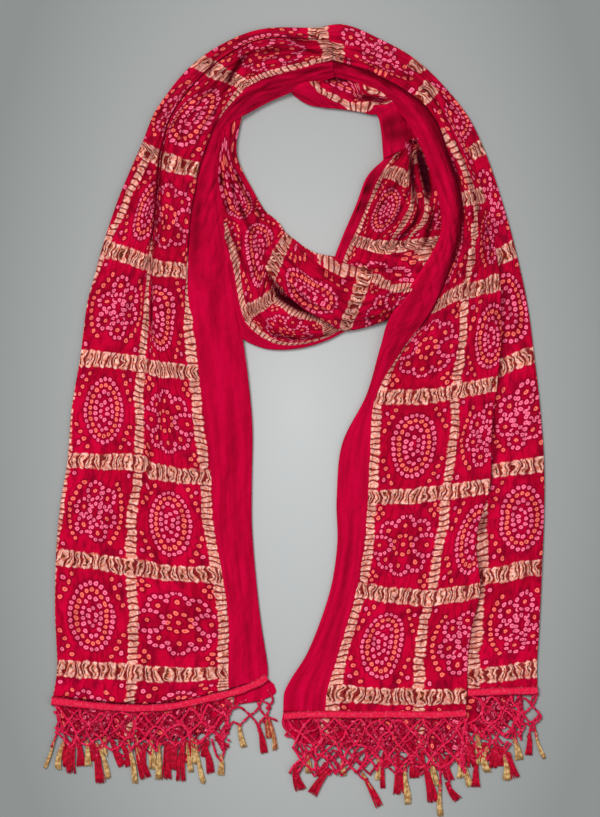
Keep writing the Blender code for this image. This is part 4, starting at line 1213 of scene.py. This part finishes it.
LEFT_HEM = Hem(
    tape=((51.5, 701), (75, 703.5), (100, 706), (130, 708), (160, 707), (200, 700.5), (230, 693),
          (254, 684.5), (267, 677)),
    net_top=((55, 705), (100, 710), (130, 712), (160, 711), (200, 705), (228, 699)),
    net_rows=3,
    cords=(
        ((226, 700), (232, 708), (240, 707), (250, 715)), ((262, 700), (256, 711), (250, 715), (240, 725)),
        ((240, 725), (233, 722), (228, 728)), ((250, 715), (256, 722), (259, 730)),
        ((228, 712), (236, 705), (246, 700)), ((262, 700), (270, 706), (266, 716)),
        ((258, 703), (262, 712), (268, 718)), ((268, 690), (273, 700), (267, 708)),
        ((266, 716), (260, 722), (259, 730)), ((56, 706), (60, 718), (56, 728)),
        ((58, 728), (56, 736), (52, 746)), ((55, 712), (61, 722), (62, 732)),
        ((226, 728), (220, 738), (222, 748)), ((212, 740), (217, 756), (221, 760)),
        ((222, 742), (224, 752), (221, 760)), ((276, 720), (270, 718), (264, 722)),
    ),
)

RIGHT_HEM = Hem(
    tape=((284, 716), (300, 714.5), (340, 714), (380, 714.5), (420, 714.5), (466, 713)),
    net_top=((288, 720), (340, 718), (400, 718), (464, 717)),
    net_rows=4,
    cords=(
        ((283, 722), (287, 730), (293, 737)), ((288, 720), (291, 730), (285, 735), (293, 737)),
        ((293, 737), (300, 745), (303, 755)), ((303, 755), (304, 762), (296, 766)),
        ((303, 755), (307, 750), (309, 757)), ((300, 742), (312, 748), (318, 756), (327, 757)),
        ((321, 743), (326, 735), (335, 738)), ((327, 757), (327, 766), (322, 772)),
        ((327, 757), (334, 750), (341, 757)), ((341, 757), (344, 764), (339, 770)),
        ((339, 770), (334, 770), (329, 774)), ((341, 757), (349, 764), (356, 772)),
        ((349, 764), (356, 755), (365, 750)), ((365, 750), (366, 764), (358, 773), (368, 782)),
        ((365, 750), (372, 747), (376, 755)), ((376, 755), (383, 760), (390, 757)),
        ((398, 758), (404, 764), (406, 770)), ((436, 757), (440, 772), (440, 790)),
        ((445, 765), (448, 775), (450, 788)),
    ),
)

LANE_HEM = Hem(
    tape=((467.5, 692.5), (490, 691.5), (515, 691), (537.5, 690)),
    net_top=((468, 697), (500, 696), (520, 695)),
    net_rows=3,
    cords=(
        ((518, 697), (526, 699), (532, 706)), ((535, 693), (531, 703), (538, 712)),
        ((528, 710), (534, 703), (537, 694)), ((514, 710), (522, 714), (528, 710)),
        ((522, 712), (530, 722), (538, 716)), ((538, 712), (541, 717), (534, 724)),
        ((514, 718), (519, 722), (528, 724), (533, 730)), ((538, 716), (531, 726), (529, 737)),
        ((533, 722), (535, 730), (536, 736)), ((496, 737), (500, 731), (506, 737)),
        ((496, 741), (502, 749), (507, 742)), ((507, 737), (514, 730), (516, 742)),
        ((504, 748), (506, 756), (508, 760)), ((468, 734), (474, 744), (468, 754)),
        ((474, 744), (482, 737), (487, 729)), ((474, 744), (480, 753), (487, 759)),
        ((487, 729), (491, 741), (487, 751)), ((480, 753), (488, 747), (496, 738)),
        ((487, 759), (494, 751), (501, 757)), ((466, 746), (472, 756), (480, 753)),
        ((471, 727), (480, 736), (491, 741)), ((482, 729), (493, 733), (502, 743)),
        ((491, 741), (498, 749), (494, 751)), ((468, 754), (474, 760), (480, 753)),
        ((500, 731), (494, 740), (487, 744)), ((476, 731), (470, 740), (466, 746)),
        ((501, 757), (506, 750), (510, 744)), ((487, 751), (478, 748), (474, 744)),
    ),
)

LEFT_TASSELS = tassels_of(
    (55, 738, 45, 768, 2.6, 0.9), (64, 741, 58, 769, 6, 0.9), (67, 739, 63, 760, 4), (74, 740, 71, 773, 8),
    (79, 738, 81, 766, 7), (87, 740, 88, 766, 6, 1), (97, 744, 101, 783, 9), (96, 742, 108, 778, 5, 0.9),
    (105, 736, 104, 756, 6, 0.9), (112, 739, 123, 766, 7), (119, 741, 129, 766, 6),
    (128, 740, 135, 783, 5, 1), (136, 742, 146, 778, 9), (137, 738, 139, 764, 5, 0.9),
    (151, 740, 154, 769, 9, 1), (159, 742, 159, 779, 6, 0.9), (166, 741, 167, 779, 8),
    (176, 740, 173, 770, 8), (184, 740, 181, 781, 8), (187, 742, 191, 772, 5, 0.9),
    (196, 740, 204, 783, 5, 1), (192, 738, 194, 764, 6, 0.8), (203, 742, 211, 773, 7),
    (215, 736, 226, 750, 8), (221, 754, 221, 775, 6, 1), (239, 724, 244, 747, 6, 1), (259, 727, 264, 753, 6),
    (267, 714, 270, 738, 6, 0.35), (269, 718, 275, 750, 4, 0.5), (70, 742, 66, 767, 6), (92, 742, 93, 761, 8),
    (145, 742, 142, 764, 7), (169, 744, 171, 763, 8), (190, 742, 187, 763, 7), (208, 740, 205, 757, 7),
)

RIGHT_TASSELS = tassels_of(
    (295, 765, 301, 790, 9), (308, 755, 309, 773, 7, 1), (330, 768, 312, 794, 8), (325, 762, 319, 777, 4),
    (342, 760, 343, 776, 7, 1), (364, 776, 380, 806, 7), (362, 772, 372, 792, 4, 0.9),
    (378, 756, 378, 780, 6, 0.9), (383, 758, 383, 788, 4), (397, 756, 399, 794, 9),
    (404, 762, 408, 804, 6, 1), (412, 750, 415, 778, 9), (424, 764, 433, 802, 9),
    (432, 756, 436, 786, 8, 0.9), (440, 784, 440, 816, 5, 1), (446, 782, 458, 800, 7),
    (448, 754, 450, 780, 8), (457, 758, 460, 778, 8, 1), (464, 764, 470, 786, 6, 0.9),
    (476, 764, 476, 787, 7), (387, 750, 389, 766, 6), (422, 750, 422, 772, 7), (438, 752, 443, 772, 6),
)

LANE_TASSELS = tassels_of(
    (468, 740, 467, 762, 9), (477, 734, 481, 765, 9, 1), (487, 746, 488, 772, 7, 0.9),
    (495, 744, 496, 764, 8), (504, 754, 507, 780, 7, 0.9), (508, 752, 515, 778, 8),
    (514, 738, 519, 760, 7, 0.8), (529, 733, 528, 755, 6), (535, 730, 544, 758, 3, 1),
    (472, 744, 473, 767, 9), (484, 742, 485, 762, 8), (492, 748, 493, 768, 7), (501, 746, 501, 766, 8),
)


def along_line(line, at):
    """Chart places at distances `at` along a line of chart places."""
    line = np.array(line, float)
    return np.stack([np.interp(at, chord_knots(line), line[:, k]) for k in (0, 1)], axis=-1)


def length_of(line):
    """Length of a line of chart places."""
    return chord_knots(np.array(line, float))[-1]


def curve_through(points, samples):
    """Smooth line through a few places, at even shares of its length."""
    points = np.array(points, float)
    knots = chord_knots(points)
    return hermite(points, knots, *spans_at(knots, np.linspace(0, knots[-1], samples)))


def tube_mesh(name, paths, radii, sides, tones, material):
    """Tubes round many paths, each closed at both ends, joined in one mesh.

    paths is (tubes, points, 3) in chart millimetres and radii (tubes, points). Round each point stand `sides`
    corners on a circle square to the path. The map `yarn` holds each tube's tone and the share of the way
    along it.
    """
    centre = to_frame(paths)
    tangent = unit(np.gradient(centre, axis=1))
    side = unit(np.cross(tangent, np.array([0.0, 0.0, 1.0])))
    above = np.cross(side, tangent)
    angle = np.arange(sides) * 2 * np.pi / sides
    spoke = side[..., None, :] * np.cos(angle)[:, None] + above[..., None, :] * np.sin(angle)[:, None]
    points = centre[..., None, :] + spoke * (radii * MM)[..., None, None]
    count, length = radii.shape
    index = np.arange(count * length * sides).reshape(count, length, sides)
    after = np.roll(index, -1, axis=2)
    quads = np.stack([index[:, :-1], index[:, 1:], after[:, 1:], after[:, :-1]], axis=-1).reshape(-1, 4)
    caps = np.concatenate([index[:, 0], index[:, -1, ::-1]])
    share = np.linspace(0, 1, length)
    ends_of_quad = np.stack([share[:-1], share[1:], share[1:], share[:-1]], axis=-1)
    along = np.tile(np.repeat(ends_of_quad, sides, axis=0), (count, 1)).reshape(-1)
    yarn = np.concatenate([
        np.stack([np.repeat(tones, (length - 1) * sides * 4), along], axis=-1),
        np.stack([np.tile(np.repeat(tones, sides), 2), np.repeat([0.0, 1.0], count * sides)], axis=-1),
    ])
    faces = quads.tolist() + caps.tolist()
    return mesh_object(name, points.reshape(-1, 3), faces, material, (("yarn", yarn),))


def twisted(paths, radius, twists, phases):
    """Two plies of cord wound round each other along each path: (2 x paths, points, 3).

    A ply lies `radius` off the path, level to one side by the cosine of its turn and upwards by the sine.
    """
    share = np.linspace(0, 1, paths.shape[1])
    turn = 2 * np.pi * twists[:, None] * share + phases[:, None]
    across = with_height(sideways_of(np.gradient(paths[..., :2], axis=1)), 0.0)
    offset = across * np.cos(turn)[..., None] + np.array([0, 0, 1.0]) * np.sin(turn)[..., None]
    return np.concatenate([paths + radius * offset, paths - radius * offset])


def net_paths(hem, layer, seed):
    """Cords of one layer of net hung from a hem, and the nodes they meet in.

    The nodes stand in rows, each row half a cell along from the last and shifted a little at random. From
    each node two cords lead to nodes of the next row, as a straight line plus a sideways bow and a hump that
    are sines of the share of the way. Cords much longer or shorter than a cell are left out.
    """
    rng = np.random.default_rng(seed)
    length = length_of(hem.net_top)
    k, j = np.meshgrid(np.arange(int(length / layer.cell) + 2), np.arange(hem.net_rows + 1), indexing="ij")
    at = (k + 0.5 * (j % 2)) * layer.cell + layer.shift
    flat = along_line(hem.net_top, np.clip(at, 0, length))
    flat = flat + rng.normal(0, NODE_STRAY, flat.shape)
    flat[..., 1] += j * layer.depth
    nodes = with_height(flat, layer.level + rng.normal(0, LEVEL_STRAY, at.shape))
    odd = (j[:-1, :-1] % 2)[..., None]
    other = np.where(odd, nodes[1:, 1:], np.roll(nodes, 1, axis=0)[:-1, 1:])
    starts = np.tile(nodes[:-1, :-1].reshape(-1, 3), (2, 1))
    stops = np.concatenate([nodes[:-1, 1:].reshape(-1, 3), other.reshape(-1, 3)])
    gaps = np.linalg.norm(stops - starts, axis=-1)
    keep = (gaps < LONGEST * layer.cell) & (gaps > SHORTEST * layer.cell)
    starts, stops = starts[keep], stops[keep]
    t = np.linspace(0, 1, CORD_POINTS)[None, :, None]
    swell = np.sin(np.pi * t)
    bow = rng.normal(0, CORD_BOW, (len(starts), 1, 1)) * swell
    across = with_height(sideways_of(stops - starts), 0.0)
    hump = np.array([0, 0, CORD_HUMP]) * swell * rng.uniform(-1, 1, (len(starts), 1, 1))
    paths = starts[:, None] * (1 - t) + stops[:, None] * t + across[:, None] * bow + hump
    return paths, nodes[:, 1:].reshape(-1, 3)


def build_net(name, hem, seed, material):
    """The layers of net, one over another, and the loose cords, all of two plies, with a knot at each node.

    A knot is a short tube whose radius is that of a ball: the root of 1 minus the square of the share of the
    way out from its middle.
    """
    layers = [net_paths(hem, layer, seed + number) for number, layer in enumerate(NET_LAYERS)]
    loose = with_height(np.array([curve_through(cord, CORD_POINTS) for cord in hem.cords]), LOOSE_LEVEL)
    paths = np.concatenate([made for made, _ in layers] + [loose])
    tones = [np.full(len(made), layer.tone) for (made, _), layer in zip(layers, NET_LAYERS)]
    tones = np.concatenate(tones + [np.full(len(loose), LOOSE_TONE)])
    rng = np.random.default_rng(seed + 9)
    plies = twisted(paths, PLY_OUT, rng.uniform(1.6, 2.6, len(paths)), rng.uniform(0, 6, len(paths)))
    thick = np.full(plies.shape[:2], PLY_RADIUS)
    cords = tube_mesh(name, plies, thick, 6, np.tile(tones, 2), material)
    knots = np.concatenate([nodes for _, nodes in layers] + [loose[:, 0], loose[:, -1]])
    stretch = np.linspace(-1, 1, 7)
    turn = rng.uniform(0, np.pi, len(knots))
    way = np.stack([np.cos(turn), np.sin(turn), 0 * turn], axis=-1)
    beads = knots[:, None] + way[:, None] * (stretch * KNOT_HALF)[None, :, None]
    radii = np.sqrt(np.maximum(1 - stretch**2, 0.02)) * rng.uniform(1.2, 1.6, (len(knots), 1))
    ties = tube_mesh(name + "_knots", beads, radii, 8, np.full(len(knots), KNOT_TONE), material)
    return cords, ties


def build_tassels(name, tassels, seed, material):
    """Bundles of loose strands, tied near the top and spreading to a flared foot that rests on the floor.

    A strand runs straight from root to foot, plus sideways: its place across times the spread, which is
    pinched by a bell at the tie and opens with the share of the way to the power 1.3, plus a bend and a stray
    wave.
    """
    rng = np.random.default_rng(seed)
    count = len(tassels)
    root = np.array([t.root for t in tassels], float)[:, None, None]
    foot = np.array([t.foot for t in tassels], float)[:, None, None]
    width = np.array([t.width * (1.5 - 0.25 * t.gold) for t in tassels], float)[:, None, None]
    t = np.linspace(0, 1, len(STRAND_RADII))[None, None, :] * rng.uniform(0.96, 1.02, (count, STRANDS, 1))
    place_across = rng.uniform(-1, 1, (count, STRANDS, 1))
    place_up = rng.uniform(-1, 1, (count, STRANDS, 1))
    way = foot - root
    across = sideways_of(way)
    waist = WAIST - WAIST_PINCH * np.exp(-(((t - TIE_AT) / TIE_LONG) ** 2))
    spread = 0.5 * width * (waist + (FOOT_SPREAD - waist) * t**1.3)
    bend = rng.normal(0, TASSEL_BEND, (count, 1, 1)) * np.sin(np.pi * t)
    stray = rng.normal(0, STRAND_STRAY, (count, STRANDS, 1))
    stray = stray * np.sin(2.2 * np.pi * t + rng.uniform(0, 6, (count, STRANDS, 1)))
    sideways = place_across * spread + bend + stray * t
    flat = root + way * t[..., None] + across * sideways[..., None]
    level = ROOT_LEVEL * (1 - t) + FOOT_LEVEL * t
    tall = np.maximum(level + place_up * (0.55 + 0.35 * (1 - t)) + 0.2 * stray, STRAND_RADII.max())
    paths = with_height(flat, tall).reshape(count * STRANDS, -1, 3)
    radii = np.broadcast_to(STRAND_RADII, paths.shape[:2]) * rng.uniform(0.85, 1.15, (len(paths), 1))
    gold = np.array([tassel.gold for tassel in tassels])[:, None] + rng.normal(0, 0.09, (count, STRANDS))
    made = tube_mesh(name, paths, radii, 5, np.clip(gold, 0, 1).ravel(), material)
    ties = build_ties(name + "_ties", tassels, root[:, 0, 0], way[:, 0, 0], width[:, 0, 0], material)
    return made, ties


def build_ties(name, tassels, root, way, width, material):
    """Yarn wound round the top of each tassel: a coil of TIE_TURNS turns, flattened towards the floor."""
    turn = np.linspace(0, 1, 17)[None, :]
    angle = 2 * np.pi * TIE_TURNS * turn
    along = unit(way)
    start = root + along * TIE_START
    half = 0.16 * width + 0.5
    flat = (
        start[:, None] + along[:, None] * (turn * TIE_TALL)[..., None]
        + sideways_of(way)[:, None] * (np.cos(angle) * half[:, None])[..., None]
    )
    wraps = with_height(flat, TIE_LEVEL + np.sin(angle) * (0.35 * half[:, None] + 0.7))
    tone = np.array([tassel.gold * 0.6 for tassel in tassels])
    return tube_mesh(name, wraps, np.full(wraps.shape[:2], TIE_RADIUS), 5, tone, material)


def build_tape(name, line, material):
    """Ridged braid along a hem: an oval section with three long ridges, swept along the line, ends closed.

    The oval's width goes with the cosine of the angle round it. Its upper half rises with the sine to the
    power 0.7, plus the ridges and the plaits, which are sines across and along the tape.
    """
    count = int(length_of(line) / TAPE_STEP) + 1
    middle = curve_through(line, count)
    across = sideways_of(np.gradient(middle, axis=0))
    along = np.arange(count)[:, None] * TAPE_STEP
    angle = np.linspace(0, 2 * np.pi, 32, endpoint=False)
    upper = np.sin(angle) > 0
    wide = np.cos(angle) * TAPE_HALF
    ridge = RIDGE_TALL * np.abs(np.cos(3 * np.pi * wide / (2 * TAPE_HALF))) * upper
    tall = np.where(upper, np.abs(np.sin(angle)) ** 0.7 * TAPE_OVER, np.sin(angle) * TAPE_UNDER) + ridge
    plait = PLAIT_TALL * np.sin(2 * np.pi * along / PLAIT) * upper
    base = TAPE_LEVEL + waves(middle[:, 0], middle[:, 1], 5, (30, 47, 80), 0.3)[:, None]
    sway = waves(middle[:, 0], middle[:, 1], 8, (38, 61), 0.5)[:, None]
    ripple = waves(middle[:, 0], middle[:, 1], 12, (7, 11, 19), 0.11)[:, None]
    flat = middle[:, None] + across[:, None] * (wide * (1.04 + ripple) + sway)[..., None]
    places = with_height(flat, base + tall + plait)
    prints = np.stack(np.broadcast_arrays(along, wide[None, :] + TAPE_HALF), axis=-1)
    return ring_mesh(name, places, prints, 0 * prints, material)


def hem_braid():
    """Braided hem tape: crimson with fine slanting plaits, painted lighter on their crests as highlight,
    darker towards its rounded edges as painted shade, and with pale flecks.
    """
    p = Paint("hem_braid")
    flat = p.scaled(p.uv("cloth"), TO_MM)
    along, across, _ = p.parts(flat)
    slant = abs(across - TAPE_HALF)
    plait = p.sine((along + slant * 1.2) * (2 * math.pi / 2.6)) * 0.5 + 0.5
    relief = plait * 0.5 + p.noise(flat, 0.9, 2.0) * 0.3
    rough = p.noise(flat, 0.35, 3.0)
    edge = p.rise(slant + (rough - 0.5) * 2.0, 1.6, 3.6)
    # Painted highlight on the plaits' crests, and painted shade towards the tape's edges.
    colour = p.blend(relief, rgb(214, 0, 50), rgb(252, 44, 88))
    colour = p.blend(edge * 0.85, colour, rgb(150, 0, 34))
    colour = p.blend(p.rise(rough, 0.45, 0.8) * 0.4, colour, rgb(255, 110, 140))
    return p.finish(
        Base_Color=colour,
        Roughness=0.5,
        Normal=p.bump(relief, 0.0006, 0.8),
        Specular_IOR_Level=0.12,
        Specular_Tint=(1.0, 0.4, 0.5, 1.0),
    )


def net_cord():
    """Twisted rayon cord, painted from deep crimson at the back of the net, as shade, to pinkish red at its
    front, with pale flecks of painted highlight, and darker in specks.
    """
    p = Paint("net_cord")
    tone = p.parts(p.uv("yarn"))[0]
    fine = p.noise(p.scaled(p.place(), TO_MM), 0.35, 2.0)
    # The tone paints shade on the lower layers of net; the pale flecks are painted highlights.
    colour = p.blend(tone, rgb(140, 0, 33), rgb(244, 30, 82))
    colour = p.blend(p.rise(fine, 0.56, 0.76) * 0.5, colour, rgb(250, 120, 160))
    colour = p.blend(1 - p.rise(fine, 0.3, 0.45), colour, rgb(120, 0, 30))
    return p.finish(
        Base_Color=colour,
        Roughness=0.5,
        Specular_IOR_Level=0.2,
        Specular_Tint=(1.0, 0.5, 0.65, 1.0),
    )


def tassel_yarn():
    """Loose tassel yarn, crimson or gold strand by strand; gold yarn starts red at the tie."""
    p = Paint("tassel_yarn")
    gold, along, _ = p.parts(p.uv("yarn"))
    fine = p.rise(p.noise(p.scaled(p.place(), TO_MM), 0.3, 2.0), 0.35, 0.7)
    crimson = p.blend(fine, rgb(158, 0, 34), rgb(206, 4, 48))
    golden = p.blend(fine, rgb(166, 118, 66), rgb(226, 190, 132))
    golden = p.blend((1 - p.rise(along, 0.1, 0.4)) * 0.6, golden, rgb(170, 60, 56))
    colour = p.blend(p.rise(gold, 0.3, 0.6), crimson, golden)
    return p.finish(
        Base_Color=colour,
        Roughness=0.5,
        Specular_IOR_Level=0.2,
        Specular_Tint=(1.0, 0.6, 0.6, 1.0),
    )


# ---------------------------------------------------------------- the scene

def build_sheet(name, rows, counts, folds, seed, roundness, cloth):
    """A sheet of the printed cloth. A higher roundness makes its top flatter and its edges fuller."""
    places, prints, tones = sheet_grid(rows, counts, folds, seed, roundness)
    return ring_mesh(name, places, prints, tones, cloth)


def build_stole():
    """Every sheet, tape, net and tassel, hiding the CAD parts that they stand for.

    Returns the sheets by name, and by end the trims that hang on it.
    """
    cloth, braid, cord, yarn = printed_cloth(), hem_braid(), net_cord(), tassel_yarn()
    sheets = {
        name: build_sheet(name, rows, counts, folds, seed, roundness, cloth)
        for name, rows, counts, folds, seed, roundness in (
            ("cloth_left", LEFT_SHEET, LEFT_COUNTS, LEFT_FOLDS, 11, 3.2),
            ("cloth_right", RIGHT_SHEET, RIGHT_COUNTS, RIGHT_FOLDS, 23, 3.2),
            ("cloth_upper_lane", UPPER_LANE, UPPER_COUNTS, LANE_FOLDS, 37, 3.0),
            ("loop_base", LOOP_BASE, BASE_COUNTS, BASE_FOLDS, 41, 2.4),
            ("loop_fold", LOOP_FOLD, FOLD_COUNTS, FOLD_FOLDS, 53, 2.6),
            ("loop_collar", LOOP_COLLAR, COLLAR_COUNTS, COLLAR_FOLDS, 67, 2.4),
            ("loop_inner_arc", INNER_ARC, ARC_COUNTS, ARC_FOLDS, 71, 2.4),
            ("border_flare", BORDER_FLARE, (8, 8, 8), (), 79, 3.0),
            ("under_left", UNDER_LEFT, (12, 12, 12, 10), LEFT_NET_SHADE, 83, 3.0),
            ("under_right", UNDER_RIGHT, (12, 14, 14, 14), RIGHT_NET_SHADE, 89, 3.0),
            ("under_lane", UNDER_LANE, (8, 8, 8), LANE_NET_SHADE, 97, 3.0),
        )
    }
    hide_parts("left_end", "neck_back")
    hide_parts("right_end")
    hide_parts("right_pleat")
    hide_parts("neck_loop")
    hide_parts("neck_back_under")
    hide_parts("left_under_layer")
    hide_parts("right_under_layer")
    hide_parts("right_pleat_under_layer")
    trims = {}
    for node, hem, tassels, seed in (
        ("left", LEFT_HEM, LEFT_TASSELS, 101),
        ("right", RIGHT_HEM, RIGHT_TASSELS, 131),
        ("right_pleat", LANE_HEM, LANE_TASSELS, 167),
    ):
        tape = build_tape(node + "_tape", hem.tape, braid)
        net, knots = build_net(node + "_net", hem, seed, cord)
        bundles, ties = build_tassels(node + "_tassel_bundles", tassels, seed + 5, yarn)
        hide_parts(node + "_hem_tape")
        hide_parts(node + "_net_fringe")
        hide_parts(node + "_tassels")
        trims[node] = [tape, net, knots, bundles, ties]
    return sheets, trims


FLOOR_MIDDLE = (0.60, 0.615, 0.61, 1.0)
FLOOR_EDGE = (0.265, 0.28, 0.275, 1.0)
FLOOR_HALF = 4.0                  # metres from here on
LENS, SENSOR = 200.0, 36.0
SEEN_TALL = 0.817                 # height of floor that the camera sees
CAMERA_OVER = (0.00293, 0.0107)   # where on the frame the camera looks straight down


def floor_paint():
    """Plain grey floor with a painted pool of light: paler beneath the stole and darker away from it."""
    p = Paint("floor")
    x, y, _ = p.parts(p.place())
    away = p.span(x / 0.30, (y - 0.01) / 0.60)
    colour = p.blend(p.least(away / 1.1, 1.0), FLOOR_MIDDLE, FLOOR_EDGE)
    return p.finish(Base_Color=colour, Roughness=0.95, Specular_IOR_Level=0.05)


def soft_sun(name, towards, strength, spread, tint):
    """Even light from far off, softened over `spread` degrees, that shines along a direction."""
    data = bpy.data.lights.new(name, "SUN")
    data.energy = strength
    data.angle = math.radians(spread)
    data.color = tint
    lamp = bpy.data.objects.new(name, data)
    lamp.rotation_euler = Vector(towards).to_track_quat("-Z", "Y").to_euler()
    bpy.context.scene.collection.objects.link(lamp)


def build_setting():
    """Floor, room light, two soft lights, and the camera straight above."""
    scene = bpy.context.scene
    mesh = bpy.data.meshes.new("floor")
    far = FLOOR_HALF
    mesh.from_pydata([(-far, -far, 0), (far, -far, 0), (far, far, 0), (-far, far, 0)], [], [(0, 1, 2, 3)])
    mesh.materials.append(floor_paint())
    floor = bpy.data.objects.new("floor", mesh)
    scene.collection.objects.link(floor)
    soft_sun("key", (0.46, -0.46, -1.05), 2.1, 26, (1.0, 0.99, 0.97))
    soft_sun("fill", (-0.8, 0.35, -1.0), 0.5, 60, (0.96, 0.98, 1.0))
    room = bpy.data.worlds.new("room")
    room.use_nodes = True
    back = room.node_tree.nodes["Background"]
    back.inputs["Color"].default_value = (0.93, 0.96, 1.0, 1.0)
    back.inputs["Strength"].default_value = 0.36
    scene.world = room
    data = bpy.data.cameras.new("camera")
    data.lens = LENS
    data.clip_end = 50
    camera = bpy.data.objects.new("camera", data)
    camera.location = (*CAMERA_OVER, SEEN_TALL * LENS / SENSOR)
    scene.collection.objects.link(camera)
    scene.camera = camera
    scene.view_settings.view_transform = "Standard"


SHEETS, TRIMS = build_stole()
build_setting()
